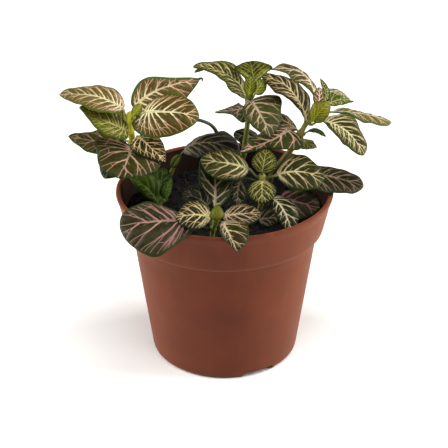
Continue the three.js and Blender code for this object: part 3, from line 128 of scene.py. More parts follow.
# look of each leaf: blade dark, blade light, vein near the base, vein near the margin, rim,
# pairs of side veins, vein width, strength of the fine net. The colours are each leaf's own colours
# with the light and shade on that leaf painted in: the darkest rows, such as k_arch, k_small and e_left_back,
# are mostly painted shade, and the green leaves low in the pot (g_left, g_right, g_back) are painted lighter
# to make up for the shade there.
LOOKS = {
    "a_left_top": ("#4e4116", "#776930", "#dacfaa", "#c19685", "#757c31", 8, 0.80, 0.90),
    "a_right_front": ("#3b2e09", "#5d5019", "#e1dcad", "#c58f71", "#636d26", 7, 0.88, 0.80),
    "a_left_mid": ("#555706", "#696f15", "#beb171", "#a3945e", "#646e19", 8, 0.70, 0.90),
    "a_back_top": ("#423616", "#756737", "#e7d9a7", "#d39887", "#6e7a41", 7, 0.95, 0.80),
    "a_left_low": ("#453f13", "#5a5724", "#caa795", "#bd8e85", "#57652a", 6, 0.75, 0.60),
    "a_right_low": ("#251d03", "#473e0f", "#fbe7ab", "#e1b993", "#3f4213", 6, 0.85, 0.80),
    "a_front_low": ("#2a240a", "#404017", "#b99981", "#ab836e", "#404a18", 5, 1.10, 0.80),
    "a_under_low": ("#131b0f", "#1d2616", "#6a6a50", "#5c6048", "#2c3929", 4, 0.80, 0.60),
    "a_young": ("#6a6a0c", "#848516", "#ada641", "#a69f3d", "#7a811d", 6, 0.40, 0.30),
    "b_left_top": ("#242301", "#4a4c11", "#d8cd8e", "#cab283", "#5a671a", 9, 0.62, 0.90),
    "b_crown_back": ("#111001", "#313204", "#90913d", "#898a38", "#404b0a", 9, 0.60, 0.70),
    "b_crown_front": ("#362d02", "#544f07", "#919724", "#8a912a", "#58610a", 8, 0.55, 0.50),
    "b_crown_right": ("#505006", "#818420", "#b4b95e", "#b4b95e", "#84942d", 7, 0.55, 0.50),
    "b_left_low": ("#38381b", "#545632", "#bda090", "#b48a81", "#5d6a3a", 5, 0.80, 0.70),
    "b_front_low": ("#383a14", "#4c4e23", "#baa589", "#a88872", "#525a2e", 5, 1.15, 0.90),
    "b_curl": ("#576a1d", "#697d31", "#6b7b32", "#6b7b32", "#647938", 3, 0.50, 0.30),
    "c_left": ("#1b1401", "#393109", "#c2b682", "#ab936d", "#3c400e", 8, 0.90, 0.90),
    "c_back_top": ("#2d2a08", "#5c5826", "#cfc0a2", "#caac9a", "#83804b", 6, 0.80, 0.60),
    "c_young_front": ("#3d3f03", "#686b0a", "#949a2d", "#978229", "#697115", 8, 0.50, 0.50),
    "c_spike_up": ("#202101", "#464806", "#c4c687", "#c4c687", "#616918", 5, 0.50, 0.40),
    "c_spike_right": ("#374206", "#596715", "#afae72", "#afae72", "#62711e", 5, 0.50, 0.40),
    "c_up_pink": ("#171702", "#36380f", "#ffdcb2", "#f7c4a2", "#4c5b18", 5, 0.80, 0.60),
    "c_right_back": ("#575a3b", "#828261", "#d7c69f", "#d0af98", "#8d9166", 5, 0.80, 0.60),
    "c_right_long": ("#575320", "#8a7c48", "#d2d1ab", "#ceb699", "#7f8952", 6, 0.80, 0.70),
    "c_right_low": ("#262202", "#474314", "#d0c997", "#b9a780", "#585f1e", 8, 0.90, 1.00),
    "c_mid_back": ("#251e04", "#3f3912", "#c6b087", "#b49c7f", "#494b1c", 6, 0.85, 0.70),
    "c_thin": ("#37460f", "#5a6d2c", "#839056", "#839056", "#77894f", 3, 0.50, 0.30),
    "c_left_low": ("#323711", "#454f1e", "#e1bba7", "#c8907f", "#485e24", 5, 1.15, 0.90),
    "c_right_stub": ("#2f3214", "#565a28", "#959056", "#959056", "#616934", 4, 0.60, 0.50),
    "d_left": ("#2c2c04", "#414410", "#beb586", "#b09274", "#3d4916", 5, 1.00, 0.80),
    "d_right": ("#202102", "#353807", "#c8b98a", "#b19a77", "#3c490f", 5, 0.95, 0.90),
    "d_back": ("#343403", "#45480a", "#a59d5e", "#9d9352", "#3e430b", 6, 0.65, 0.50),
    "d_front": ("#242401", "#3b3e07", "#bfb670", "#b4aa68", "#35410c", 6, 0.65, 0.60),
    "d_front_right": ("#111501", "#222807", "#cac19b", "#bea586", "#2b3c0e", 5, 0.95, 0.70),
    "d_front_left": ("#0b1502", "#1b2906", "#958768", "#87785d", "#223307", 4, 1.15, 0.40),
    "d_right_far": ("#1a1807", "#332f18", "#907f6a", "#8a715b", "#424326", 7, 0.85, 0.80),
    "d_right_low": ("#32341c", "#4a4a33", "#a97876", "#9e6d66", "#475129", 4, 1.00, 0.70),
    "d_soil": ("#1d1803", "#2a2c0b", "#8c8171", "#837162", "#2e390f", 4, 0.95, 0.60),
    "e_left": ("#181801", "#292d06", "#c5b784", "#b29970", "#203005", 6, 1.05, 0.80),
    "e_right": ("#180f01", "#332c0d", "#b3a07e", "#a88c70", "#394510", 6, 1.00, 0.80),
    "e_front": ("#2a2203", "#38330b", "#bcab86", "#a78d6f", "#2e380b", 5, 1.00, 0.90),
    "e_back": ("#1a2303", "#29320c", "#a39275", "#967d6a", "#2b3c10", 4, 1.10, 0.50),
    "e_bud": ("#526008", "#5d620a", "#63631d", "#5f5c18", "#515509", 4, 0.45, 0.30),
    "e_left_big": ("#1f1b0c", "#3b391f", "#a78075", "#976c65", "#414d24", 6, 1.05, 0.80),
    "e_left_back": ("#030302", "#080b04", "#585238", "#504c38", "#131805", 4, 0.80, 0.50),
    "g_left": ("#34430e", "#57721d", "#71903c", "#6c8a37", "#425d1a", 6, 0.70, 0.30),
    "g_right": ("#384421", "#607d2b", "#7a9942", "#739336", "#425d20", 6, 0.70, 0.30),
    "g_back": ("#223006", "#3b4c13", "#667a3e", "#5d7137", "#344617", 5, 0.70, 0.30),
    "k_arch": ("#0a0803", "#1f1d0f", "#665d46", "#5c5344", "#2b2d15", 8, 0.80, 0.60),
    "k_bud": ("#58591b", "#767c29", "#79864e", "#727e43", "#616d29", 5, 0.50, 0.40),
    "k_small": ("#050701", "#121607", "#71705b", "#666452", "#1f2511", 5, 0.70, 0.50),
}

# ---------------------------------------------------------------- small helpers


def linear(h, gain=1.0):
    h = h.lstrip("#")
    c = [int(h[i : i + 2], 16) / 255 for i in (0, 2, 4)]
    c = [x / 12.92 if x <= 0.04045 else ((x + 0.055) / 1.055) ** 2.4 for x in c]
    return tuple(min(1.0, x * gain) for x in c) + (1.0,)


def unit(a):
    a = np.asarray(a, float)
    return a / np.maximum(np.linalg.norm(a, axis=-1, keepdims=True), 1e-12)


def seed_of(name):
    return sum((i + 3) * ord(c) for i, c in enumerate(name)) % 99991


def smooth(x, a, b):
    t = np.clip((x - a) / (b - a), 0, 1)
    return t * t * (3 - 2 * t)


def make_mesh(name, verts, faces, material_index=None, smooth_shade=True, floats=None):
    me = bpy.data.meshes.new(name)
    v = np.asarray(verts, np.float64) * MM
    me.vertices.add(len(v))
    me.vertices.foreach_set("co", v.astype(np.float32).ravel())
    sizes = np.array([len(f) for f in faces], np.int32)
    loops = np.concatenate([np.asarray(f, np.int32) for f in faces])
    me.loops.add(len(loops))
    me.loops.foreach_set("vertex_index", loops)
    me.polygons.add(len(faces))
    me.polygons.foreach_set("loop_start", np.concatenate([[0], np.cumsum(sizes)[:-1]]).astype(np.int32))
    me.polygons.foreach_set("use_smooth", np.full(len(faces), smooth_shade))
    if material_index is not None:
        me.polygons.foreach_set("material_index", np.asarray(material_index, np.int32))
    for key, val in (floats or {}).items():
        at = me.attributes.new(key, "FLOAT", "POINT")
        at.data.foreach_set("value", np.asarray(val, np.float32))
    me.update(calc_edges=True)
    me.validate()
    return me


def add_piece(name, me, nodes, mats):
    ob = bpy.data.objects.new(name, me)
    bpy.context.scene.collection.objects.link(ob)
    for m in mats:
        me.materials.append(m)
    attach(ob, "root")
    if nodes:
        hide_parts(*nodes)
    return ob


# ---------------------------------------------------------------- materials


class Nodes:
    """A short way to write a node tree."""

    def __init__(self, name):
        self.mat = bpy.data.materials.new(name)
        self.mat.use_nodes = True
        self.t = self.mat.node_tree
        self.bsdf = self.t.nodes["Principled BSDF"]
        self.x = -200
        tc = self.t.nodes.new("ShaderNodeTexCoord")
        self.coord = tc.outputs["Object"]

    def node(self, kind, **sets):
        n = self.t.nodes.new(kind)
        self.x -= 40
        n.location = (self.x, 0)
        for k, v in sets.items():
            setattr(n, k, v)
        return n

    def link(self, a, b):
        self.t.links.new(a, b)

    def attr(self, name):
        return self.node("ShaderNodeAttribute", attribute_name=name).outputs["Fac"]

    def noise(self, size_mm, detail=3.0, rough=0.55, stretch=None, distort=0.0):
        src = self.coord
        if stretch:
            mp = self.node("ShaderNodeMapping")
            mp.inputs["Scale"].default_value = stretch
            self.link(src, mp.inputs["Vector"])
            src = mp.outputs["Vector"]
        n = self.node("ShaderNodeTexNoise")
        n.inputs["Scale"].default_value = 1000.0 / size_mm
        n.inputs["Detail"].default_value = detail
        n.inputs["Roughness"].default_value = rough
        n.inputs["Distortion"].default_value = distort
        self.link(src, n.inputs["Vector"])
        return n.outputs["Fac"]

    def cells(self, size_mm, feature="F1"):
        n = self.node("ShaderNodeTexVoronoi", feature=feature)
        n.inputs["Scale"].default_value = 1000.0 / size_mm
        self.link(self.coord, n.inputs["Vector"])
        return n.outputs["Distance"]

    def span(self, x, a, b, lo=0.0, hi=1.0, smoothly=True):
        n = self.node("ShaderNodeMapRange")
        n.interpolation_type = "SMOOTHSTEP" if smoothly else "LINEAR"
        n.inputs["From Min"].default_value = a
        n.inputs["From Max"].default_value = b
        n.inputs["To Min"].default_value = lo
        n.inputs["To Max"].default_value = hi
        self.link(x, n.inputs["Value"])
        return n.outputs["Result"]

    def math(self, op, a, b=None):
        n = self.node("ShaderNodeMath", operation=op)
        for i, v in enumerate((a, b)):
            if v is None:
                continue
            if isinstance(v, (int, float)):
                n.inputs[i].default_value = v
            else:
                self.link(v, n.inputs[i])
        return n.outputs[0]

    def mix(self, fac, a, b, blend="MIX"):
        n = self.node("ShaderNodeMix", data_type="RGBA", blend_type=blend)
        for key, v in (("Factor", fac), ("A", a), ("B", b)):
            ins = [s for s in n.inputs if s.name == key and (s.type == ("VALUE" if key == "Factor" else "RGBA"))][0]
            if isinstance(v, (int, float, tuple)):
                ins.default_value = v
            else:
                self.link(v, ins)
        return [o for o in n.outputs if o.type == "RGBA"][0]

    def bump(self, layers):
        last = None
        for height, strength, dist_mm in layers:
            n = self.node("ShaderNodeBump")
            n.inputs["Strength"].default_value = strength
            n.inputs["Distance"].default_value = dist_mm * MM
            self.link(height, n.inputs["Height"])
            if last is not None:
                self.link(last, n.inputs["Normal"])
            last = n.outputs["Normal"]
        self.link(last, self.bsdf.inputs["Normal"])

    def finish(self, color, roughness, specular=0.4, **extra):
        self.link(color, self.bsdf.inputs["Base Color"])
        if isinstance(roughness, float):
            self.bsdf.inputs["Roughness"].default_value = roughness
        else:
            self.link(roughness, self.bsdf.inputs["Roughness"])
        self.bsdf.inputs["Specular IOR Level"].default_value = specular
        for k, v in extra.items():
            self.bsdf.inputs[k.replace("_", " ")].default_value = v
        return self.mat


GAIN = 0.95


def blade_top(name, look):
    dark, light, rim = [linear(look[i], GAIN * g) for i, g in ((0, 0.55), (1, 0.72), (4, 0.46))]
    rim = (rim[0] * 0.78, rim[1] * 1.0, rim[2] * 0.7, 1.0)
    vein_in, vein_out = [linear(look[i], GAIN * 1.04) for i in (2, 3)]
    N = Nodes("leaf_upper_" + name)
    vein, edge, rad, cell = N.attr("vein"), N.attr("edge"), N.attr("rad"), N.attr("cell")
    mottle = N.noise(4.5, 3.0)
    fine = N.noise(0.9, 3.0, 0.6)
    green = (dark[0] * 0.78, dark[1] * 1.10, dark[2] * 0.70, 1.0)
    brown = (dark[0] * 1.75, dark[1] * 0.98, dark[2] * 0.95, 1.0)
    # blade: darker in the middle of each island, lighter beside the veins and towards the rim
    blade = N.mix(N.span(N.noise(8.0, 2.0), 0.36, 0.66, 0.0, 0.85), green, brown)
    blade = N.mix(N.span(mottle, 0.34, 0.72, 0.25, 0.95), blade, light)
    blade = N.mix(N.span(cell, 0.0, 1.0, 0.42, 0.0), blade, light)
    blade = N.mix(N.span(fine, 0.3, 0.75, 0.0, 0.35), blade, light)
    spot = tuple(min(1.0, c * g) for c, g in zip(light[:3], (1.45, 1.55, 1.05))) + (1.0,)
    blade = N.mix(N.span(N.noise(1.9, 3.0, 0.6), 0.5, 0.72, 0.0, 0.6), blade, spot)
    green_rim = N.math("MULTIPLY", N.span(edge, 0.6, 1.9, 1.0, 0.0), 0.95)
    blade = N.mix(green_rim, blade, rim)
    veins = N.mix(N.span(rad, 0.15, 0.8), vein_in, vein_out)
    veins = N.mix(N.span(N.noise(2.2, 2.0), 0.35, 0.75, 0.0, 0.3), veins, vein_out)
    broken = N.math("MULTIPLY", vein, N.span(N.noise(1.3, 2.0), 0.15, 0.5, 0.82, 1.0))
    color = N.mix(broken, blade, veins)
    rough = N.span(fine, 0.25, 0.8, 0.40, 0.56)
    N.bump([(N.noise(0.32, 2.0, 0.6), 0.35, 0.05), (N.noise(1.2, 2.0), 0.3, 0.12)])
    return N.finish(color, rough, 0.1)


def blade_under(name, look):
    dark, light, vein_in, vein_out, rim = [linear(h, GAIN) for h in look[:5]]
    pale = tuple(0.55 * l + 0.45 * p for l, p in zip(light[:3], linear("#8d8f68")[:3])) + (1.0,)
    N = Nodes("leaf_under_" + name)
    vein, edge = N.attr("vein"), N.attr("edge")
    blade = N.mix(N.span(N.noise(3.5, 3.0), 0.3, 0.75), light, pale)
    blade = N.mix(N.span(edge, 0.2, 1.6, 0.7, 0.0), blade, rim)
    color = N.mix(N.math("MULTIPLY", vein, 0.7), blade, tuple(0.5 * a + 0.5 * b for a, b in zip(vein_in, pale)))
    N.bump([(N.noise(0.35, 2.0, 0.6), 0.4, 0.06)])
    return N.finish(color, N.span(N.noise(0.8), 0.3, 0.8, 0.55, 0.7), 0.14)


def stalk_mat(name, look):
    N = Nodes("petiole_" + name)
    a = linear(look[4], GAIN * 1.05)
    b = linear(look[2], GAIN * 0.85)
    along = N.attr("rad")
    streak = N.noise(1.4, 2.0, 0.5, stretch=(1.0, 1.0, 0.35))
    color = N.mix(N.span(along, 0.0, 0.6, 0.25, 0.75), a, b)
    color = N.mix(N.span(streak, 0.35, 0.7, 0.0, 0.45), color, a)
    N.bump([(N.noise(0.5, 2.0), 0.4, 0.08)])
    return N.finish(color, N.span(streak, 0.2, 0.8, 0.45, 0.6), 0.2)


def stem_mat(name, low, high):
    N = Nodes("stem_" + name)
    sp = N.attr("sp")
    lo, hi = linear(low, GAIN), linear(high, GAIN)
    streak = N.noise(1.6, 3.0, 0.6, stretch=(1.0, 1.0, 0.18))
    color = N.mix(N.span(sp, 0.35, 0.98), lo, hi)
    deep = tuple(c * 0.55 for c in lo[:3]) + (1.0,)
    color = N.mix(N.span(streak, 0.42, 0.72, 0.0, 0.6), color, deep)
    color = N.mix(N.span(N.noise(0.6, 2.0), 0.6, 0.8, 0.0, 0.3), color, linear("#a99a70", GAIN))
    N.bump([(streak, 0.45, 0.2), (N.noise(0.45, 2.0), 0.5, 0.08)])
    return N.finish(color, N.span(streak, 0.2, 0.8, 0.5, 0.68), 0.18)


def pot_mat():
    N = Nodes("terracotta_plastic")
    base, pale, deep = linear("#5f2b19"), linear("#6b3520"), linear("#532517")
    cloud = N.noise(26.0, 4.0, 0.55)
    flow = N.noise(9.0, 3.0, 0.5, stretch=(1.0, 1.0, 0.16))
    grain = N.noise(0.55, 2.0, 0.6)
    color = N.mix(N.span(cloud, 0.3, 0.75), base, deep)
    color = N.mix(N.span(flow, 0.45, 0.8, 0.0, 0.35), color, pale)
    color = N.mix(N.span(grain, 0.55, 0.85, 0.0, 0.22), color, pale)
    # a little wear and dried soil: pale on the lip, dusty specks
    wear = N.math("MULTIPLY", N.span(N.attr("lip"), 0.2, 1.0), N.span(N.noise(7.0, 3.0), 0.42, 0.75, 0.0, 0.2))
    color = N.mix(wear, color, linear("#8a4e36"))
    specks = N.math("MULTIPLY", N.span(N.cells(2.6), 0.0, 0.085, 1.0, 0.0), N.span(N.noise(14.0), 0.52, 0.7))
    color = N.mix(N.math("MULTIPLY", specks, 0.55), color, linear("#3a2218"))
    # painted shade: the inside wall of the pot is painted near black for the shade that falls inside it
    color = N.mix(N.attr("inner"), color, linear("#100706"))
    rings = N.node("ShaderNodeTexWave", wave_type="BANDS", bands_direction="Z")
    rings.inputs["Scale"].default_value = 420.0
    rings.inputs["Distortion"].default_value = 1.2
    N.link(N.coord, rings.inputs["Vector"])
    N.bump([(cloud, 0.2, 0.5), (grain, 0.35, 0.06), (rings.outputs["Fac"], 0.12, 0.03)])
    return N.finish(color, N.span(flow, 0.2, 0.8, 0.50, 0.64), 0.1, Sheen_Weight=0.2, Sheen_Roughness=0.5, Sheen_Tint=(1.0, 0.46, 0.24, 1.0))


def soil_mat():
    N = Nodes("potting_mix")
    clump = N.noise(3.2, 5.0, 0.65)
    grain = N.noise(0.7, 3.0, 0.7)
    color = N.mix(N.span(clump, 0.35, 0.7), linear("#08080a"), linear("#1a1718"))
    color = N.mix(N.span(grain, 0.55, 0.8, 0.0, 0.7), color, linear("#2f2b28"))
    color = N.mix(N.span(N.cells(2.9), 0.0, 0.16, 0.55, 0.0), color, linear("#3a3024"))
    color = N.mix(N.attr("bark"), color, linear("#33261b"))
    N.bump([(clump, 0.7, 0.6), (grain, 0.8, 0.25)])
    return N.finish(color, N.span(grain, 0.2, 0.8, 0.82, 1.0), 0.2)


# ---------------------------------------------------------------- leaf surface


class Leaf:
    def __init__(self, row):
        self.name, self.kind = row[0], row[1]
        self.S, self.out, self.B, M, self.T = [np.array(a, float) for a in row[2:7]]
        self.C = 2 * M - (self.B + self.T) / 2
        self.SL, self.SR = unit(row[7]), unit(row[8])
        self.kl, self.kr, self.cord, self.up = row[9], row[10], row[11], row[12]
        us = np.linspace(0.02, 0.98, 49)
        self.wl, self.wr = float(self.half(self.kl, us).max()), float(self.half(self.kr, us).max())
        us = np.linspace(0, 1, 241)
        p = self.centre(us)
        self._x = np.concatenate([[0], np.cumsum(np.linalg.norm(np.diff(p, axis=0), axis=1))])
        self._u = us
        self.length = self._x[-1]
        self.width = self.wl + self.wr
        self.size = min(1.0, (self.length * self.width / 900.0) ** 0.5)
        self.rng = np.random.default_rng(seed_of(self.name))
        self.ph = self.rng.uniform(0, 6.28, 6)

    def centre(self, u):
        u = np.asarray(u)[..., None]
        return self.B * (1 - u) ** 2 + self.C * 2 * u * (1 - u) + self.T * u * u

    def tangent(self, u):
        u = np.asarray(u)[..., None]
        return unit((self.C - self.B) * 2 * (1 - u) + (self.T - self.C) * 2 * u)

    @staticmethod
    def half(k, u):
        u = np.clip(u, 1e-4, 1 - 1e-4)
        return np.exp(k[0] + k[1] * np.log(u) + k[2] * np.log(1 - u) + k[3] * np.sin(2 * np.pi * u) + k[4] * np.sin(3 * np.pi * u))

    def arc(self, u):
        return np.interp(u, self._u, self._x)

    def inv(self, x):
        return np.interp(x, self._x, self._u)

    def w(self, u, v):
        return np.where(np.asarray(v) >= 0, self.half(self.kr, u), self.half(self.kl, u))

    def lobes(self, u, v):
        a = np.abs(v)
        right = np.asarray(v) >= 0
        wm = np.where(right, self.wr, self.wl)
        c = np.where(right, self.cord[1], self.cord[0]) * wm
        turn = 1 - (1 - np.clip(2.4 * self.w(u, v) / wm, 0, 1)) ** 2
        return c * a**1.5 * (1 - np.asarray(u)) ** 3 * turn

    def normal0(self, u):
        t = self.tangent(u)
        return unit(np.cross(t, self.SR - self.SL)) * self.up

    def flat(self, u, v):
        """The blade laid out flat, in millimetres."""
        return np.stack([self.arc(u) - self.lobes(u, v), np.sign(v) * self.w(u, v) * np.abs(v)], -1)

    def sheet(self, u, v):
        u, v = np.asarray(u, float), np.asarray(v, float)
        c, t, n = self.centre(u), self.tangent(u), self.normal0(u)
        a = np.abs(v)
        d = np.where((v >= 0)[..., None], self.SR, self.SL)
        sd = unit(d - t * (d * t).sum(-1, keepdims=True))
        wm = np.where(v >= 0, self.wr, self.wl)
        lift = DOME * wm * np.sin(np.pi * a) * np.sin(np.pi * np.clip(u, 0, 1)) ** 0.6
        # soft unevenness of a living blade
        q = self.ph
        wave = self.size * (
            0.34 * a**2 * np.sin(2 * np.pi * (2.6 * u) + q[0] + (v >= 0) * q[1])
            + 0.22 * a * np.sin(2 * np.pi * (4.7 * u) + q[2] + (v >= 0) * q[3])
            + 0.25 * np.sin(2 * np.pi * 1.3 * u + q[4]) * np.sin(np.pi * u)
        ) * np.minimum(6 * u, 1)
        return (
            c + sd * (self.w(u, v) * a)[..., None] - t * self.lobes(u, v)[..., None] + n * (lift + wave)[..., None]
        )

    def normal(self, u, v):
        e = 2e-3
        u = np.clip(u, 0.004, 0.994)
        n0 = self.normal0(u)

        def one(vv, side):
            va = np.clip(np.abs(vv), 0.02, 0.97) * side
            du = self.sheet(u + e, va) - self.sheet(u - e, va)
            dv = self.sheet(u, va + e * side) - self.sheet(u, va - e * side)
            n = unit(np.cross(du, dv))
            return n * np.sign((n * n0).sum(-1, keepdims=True) + 1e-9)

        side = np.where(v >= 0, 1.0, -1.0)
        n1 = one(v, side)
        n2 = one(v, -side)
        b = 0.5 * np.exp(-((np.abs(v) / 0.10) ** 2))[..., None]
        n = unit(n1 * (1 - b) + n2 * b)
        # near the base and the tip the outline closes, so the plain frame is steadier there
        k = (smooth(u, 0.0, 0.05) * smooth(1 - u, 0.0, 0.04))[..., None]
        return unit(n * k + n0 * (1 - k))


# ---------------------------------------------------------------- venation


def venation(leaf, pairs, vw, net):
    """Vein network as polylines: (u, v) points, half widths in mm, order, strength."""
    rng = leaf.rng
    z = 0.45 + 0.55 * leaf.size
    s = 1.1 * vw * (0.42 + 0.58 * leaf.size)
    veins = []
    u = np.linspace(0.0, 0.985, 60)
    wob = 0.02 * np.sin(2 * np.pi * 2.7 * u + leaf.ph[5]) * u
    veins.append((np.stack([u, wob], 1), s * (0.17 + 0.60 * (1 - u) ** 1.5), 0, 1.0))

    def curve(A, C, B, step=0.5):
        n = max(4, int(np.linalg.norm(B - A) / step))
        t = np.linspace(0, 1, n)[:, None]
        return A * (1 - t) ** 2 + C * 2 * t * (1 - t) + B * t * t, t[:, 0]

    def waver(pts, t, amount):
        """Veins wander a little between their ends."""
        d = unit(pts[-1] - pts[0])
        swing = np.sin(np.pi * t) * np.sin(2 * np.pi * rng.uniform(0.8, 1.6) * t + rng.uniform(0, 6.28))
        return pts + np.array([-d[1], d[0]]) * (amount * swing)[:, None]

    for side in (-1, 1):
        k = leaf.kr if side > 0 else leaf.kl

        def to_uv(pts):
            X, Y = pts[:, 0], pts[:, 1]
            uu = np.clip(leaf.inv(np.clip(X, 0.03, leaf.length * 0.99)), 0.003, 0.99)
            ww = leaf.half(k, uu)
            return np.stack([uu, side * np.clip(Y / np.maximum(ww, 0.3), 0.0, 0.94)], 1)

        # where the veins may end: a line a little inside the margin, measured along its own length
        gu = np.concatenate([np.linspace(0.004, 0.08, 60), np.linspace(0.083, 0.985, 240)])
        stop = np.clip(1 - (1.6 * z) / np.maximum(leaf.half(k, gu), 0.5), 0.40, 0.90)
        line = np.stack([leaf.arc(gu), leaf.half(k, gu) * stop], 1)
        real = leaf.flat(gu, side * stop)
        run = np.concatenate([[0], np.cumsum(np.linalg.norm(np.diff(real, axis=0), axis=1))])
        total = float(run[-1])

        def end_at(d):
            d = float(np.clip(d, 0.3, total - 0.1))
            return np.array([np.interp(d, run, line[:, 0]), np.interp(d, run, line[:, 1])])

        spacing = max(2.2 * z, total / (pairs * 2.6))
        first = 0.10 * total

        def grow(F, T, lo, hi, hw, depth, alpha):
            """A vein from F heading along T that serves the stretch lo..hi of the margin."""
            mid = (lo + hi) / 2 + rng.uniform(-0.08, 0.08) * (hi - lo)
            E = end_at(mid)
            dist = float(np.linalg.norm(E - F))
            if dist < 0.7:
                return
            if hi - lo < spacing * 1.35 or depth >= 3 or dist < 1.8 * z:
                pts, t = curve(F, F + T * dist * 0.30 + (E - F) * 0.18, E)
                pts = waver(pts, t, 0.16 * z)
                veins.append((to_uv(pts), hw * (1 - 0.60 * t), 1 if depth == 0 else 2, alpha))
                paths.append((lo, pts))
                ends.append(pts)
                return
            g = rng.uniform(0.26, 0.38) if depth == 0 else rng.uniform(0.26, 0.40)
            C = F + T * dist * 0.30 + (E - F) * 0.16
            t = np.linspace(0, g, max(4, int(dist * g / 0.5)))[:, None]
            pts = F * (1 - t) ** 2 + C * 2 * t * (1 - t) + E * t * t
            pts = waver(pts, t[:, 0] / g, 0.13 * z)
            veins.append((to_uv(pts), hw * (1 - 0.22 * t[:, 0] / g), 1 if depth == 0 else 2, alpha))
            paths.append((lo, pts))
            G = pts[-1]
            H = unit(pts[-1] - pts[-2])
            cut = lo + (hi - lo) * rng.uniform(0.42, 0.58)
            strong = rng.random() < 0.5
            grow(G, H, lo, cut, hw * (0.76 if strong else 0.62), depth + 1, alpha * 0.98)
            grow(G, H, cut, hi, hw * (0.62 if strong else 0.76), depth + 1, alpha * 0.98)

        paths, ends = [], []
        cuts = np.linspace(0, 1, pairs + 1) ** 0.94
        cuts = (first * 0.3 + (total * 0.985 - first * 0.3) * cuts) + rng.uniform(-0.25, 0.25, pairs + 1) * z
        mains = []
        for i in range(pairs):
            lo, hi = cuts[i], cuts[i + 1]
            E = end_at((lo + hi) / 2)
            f = (i + 0.5) / pairs
            phi = math.radians(58 - 26 * f + rng.uniform(-3, 3))
            X0 = E[0] - E[1] / math.tan(phi) + (0.35 if side > 0 else -0.35)
            X0 = max(X0, leaf.length * (0.012 + 0.040 * i))
            X0 = min(X0, leaf.length * 0.93)
            P = np.array([X0, 0.0])
            d = unit(E - P)
            # leave the midrib at a somewhat wider angle and bend towards the tip
            a = math.radians(9) if E[0] > X0 else 0.0
            T = np.array([d[0] * math.cos(a) - d[1] * math.sin(a), d[0] * math.sin(a) + d[1] * math.cos(a)])
            hw = s * (0.50 - 0.16 * f) * rng.uniform(0.9, 1.08)
            n0 = len(paths)
            grow(P, T, lo, hi, hw, 0, 1.0)
            mains.append((X0, paths[n0:]))
        # fine twigs that leave the veins and end blind in the islands
        for lo, pts in list(paths):
            L0 = float(np.linalg.norm(pts[-1] - pts[0]))
            m = int(np.clip(round(L0 / (5.0 * z)), 0, 2))
            for c in range(m):
                q = int((c + rng.uniform(0.35, 0.75)) / max(m, 1) * (len(pts) - 2))
                F, T = pts[q], unit(pts[q + 1] - pts[q])
                ang = (1 if c % 2 else -1) * math.radians(rng.uniform(24, 40))
                D = np.array([T[0] * math.cos(ang) - T[1] * math.sin(ang), T[0] * math.sin(ang) + T[1] * math.cos(ang)])
                L = rng.uniform(1.2, 2.2) * z
                E = F + D * L
                if E[1] > 0.75 * np.interp(E[0], line[:, 0], line[:, 1]):
                    continue
                if E[1] < 0.4 or E[0] < 0.1:
                    continue
                tw, t = curve(F, F + D * L * 0.5, E, 0.4)
                veins.append((to_uv(tw), s * (0.15 - 0.09 * t), 4, 0.42 * net))
        # cross veins that join neighbouring veins and close the islands
        for a, b in zip(ends[:-1], ends[1:]):
            if rng.random() < 0.12:
                continue
            F = a[int((len(a) - 1) * rng.uniform(0.42, 0.70))]
            G = b[int((len(b) - 1) * rng.uniform(0.60, 0.88))]
            L = float(np.linalg.norm(G - F))
            if L < 0.8 * z or L > 4.5 * z:
                continue
            w_ = np.array([G[1] - F[1], F[0] - G[0]]) / L
            tw, t = curve(F, (F + G) / 2 + w_ * 0.12 * L * (1 if rng.random() < 0.5 else -1), G, 0.4)
            veins.append((to_uv(tw), np.full(len(tw), s * 0.14), 3, min(1.0, 0.66 * net + 0.26)))
            # a second one nearer to the midrib, where both veins are long
            La, Lb = (float(np.linalg.norm(q[-1] - q[0])) for q in (a, b))
            if min(La, Lb) < 3.2 * z or rng.random() < 0.25:
                continue
            F = a[int((len(a) - 1) * rng.uniform(0.24, 0.40))]
            G = b[int((len(b) - 1) * rng.uniform(0.10, 0.30))]
            L = float(np.linalg.norm(G - F))
            if L < 0.6 * z or L > 3.6 * z:
                continue
            tw, t = curve(F, (F + G) / 2, G, 0.4)
            veins.append((to_uv(tw), np.full(len(tw), s * 0.13), 3, min(1.0, 0.66 * net + 0.2)))
        # short veins from the midrib between the side veins
        for (xa, _), (xb, pb) in zip(mains[:-1], mains[1:]):
            if xb - xa < 3.0 * z or not pb:
                continue
            for h in (0.52,):
                P = np.array([xa + (xb - xa) * h, 0.0])
                T = unit(pb[0][1][1] - pb[0][1][0])
                L = min(3.6 * z, (xb - xa) * 0.9) * rng.uniform(0.75, 1.1)
                E = P + T * L
                tw, t = curve(P, P + T * L * 0.5 + np.array([0.0, 0.12]), E)
                veins.append((to_uv(tw), s * (0.22 - 0.12 * t), 3, 0.75 * min(1.0, net + 0.1)))
    return veins


def thin_out(points, priority_radius):
    """Keeps points in order, dropping any nearer than its radius to one already kept."""
    cell = 0.45
    grid = {}
    keep = []
    for i, (x, y) in enumerate(points):
        r = priority_radius[i]
        gx, gy = int(x // cell), int(y // cell)
        ok = True
        reach = int(r / cell) + 1
        for a in range(gx - reach, gx + reach + 1):
            for b in range(gy - reach, gy + reach + 1):
                for j in grid.get((a, b), ()):
                    dx, dy = points[j][0] - x, points[j][1] - y
                    if dx * dx + dy * dy < r * r:
                        ok = False
                        break
                if not ok:
                    break
            if not ok:
                break
        if ok:
            grid.setdefault((gx, gy), []).append(i)
            keep.append(i)
    return keep


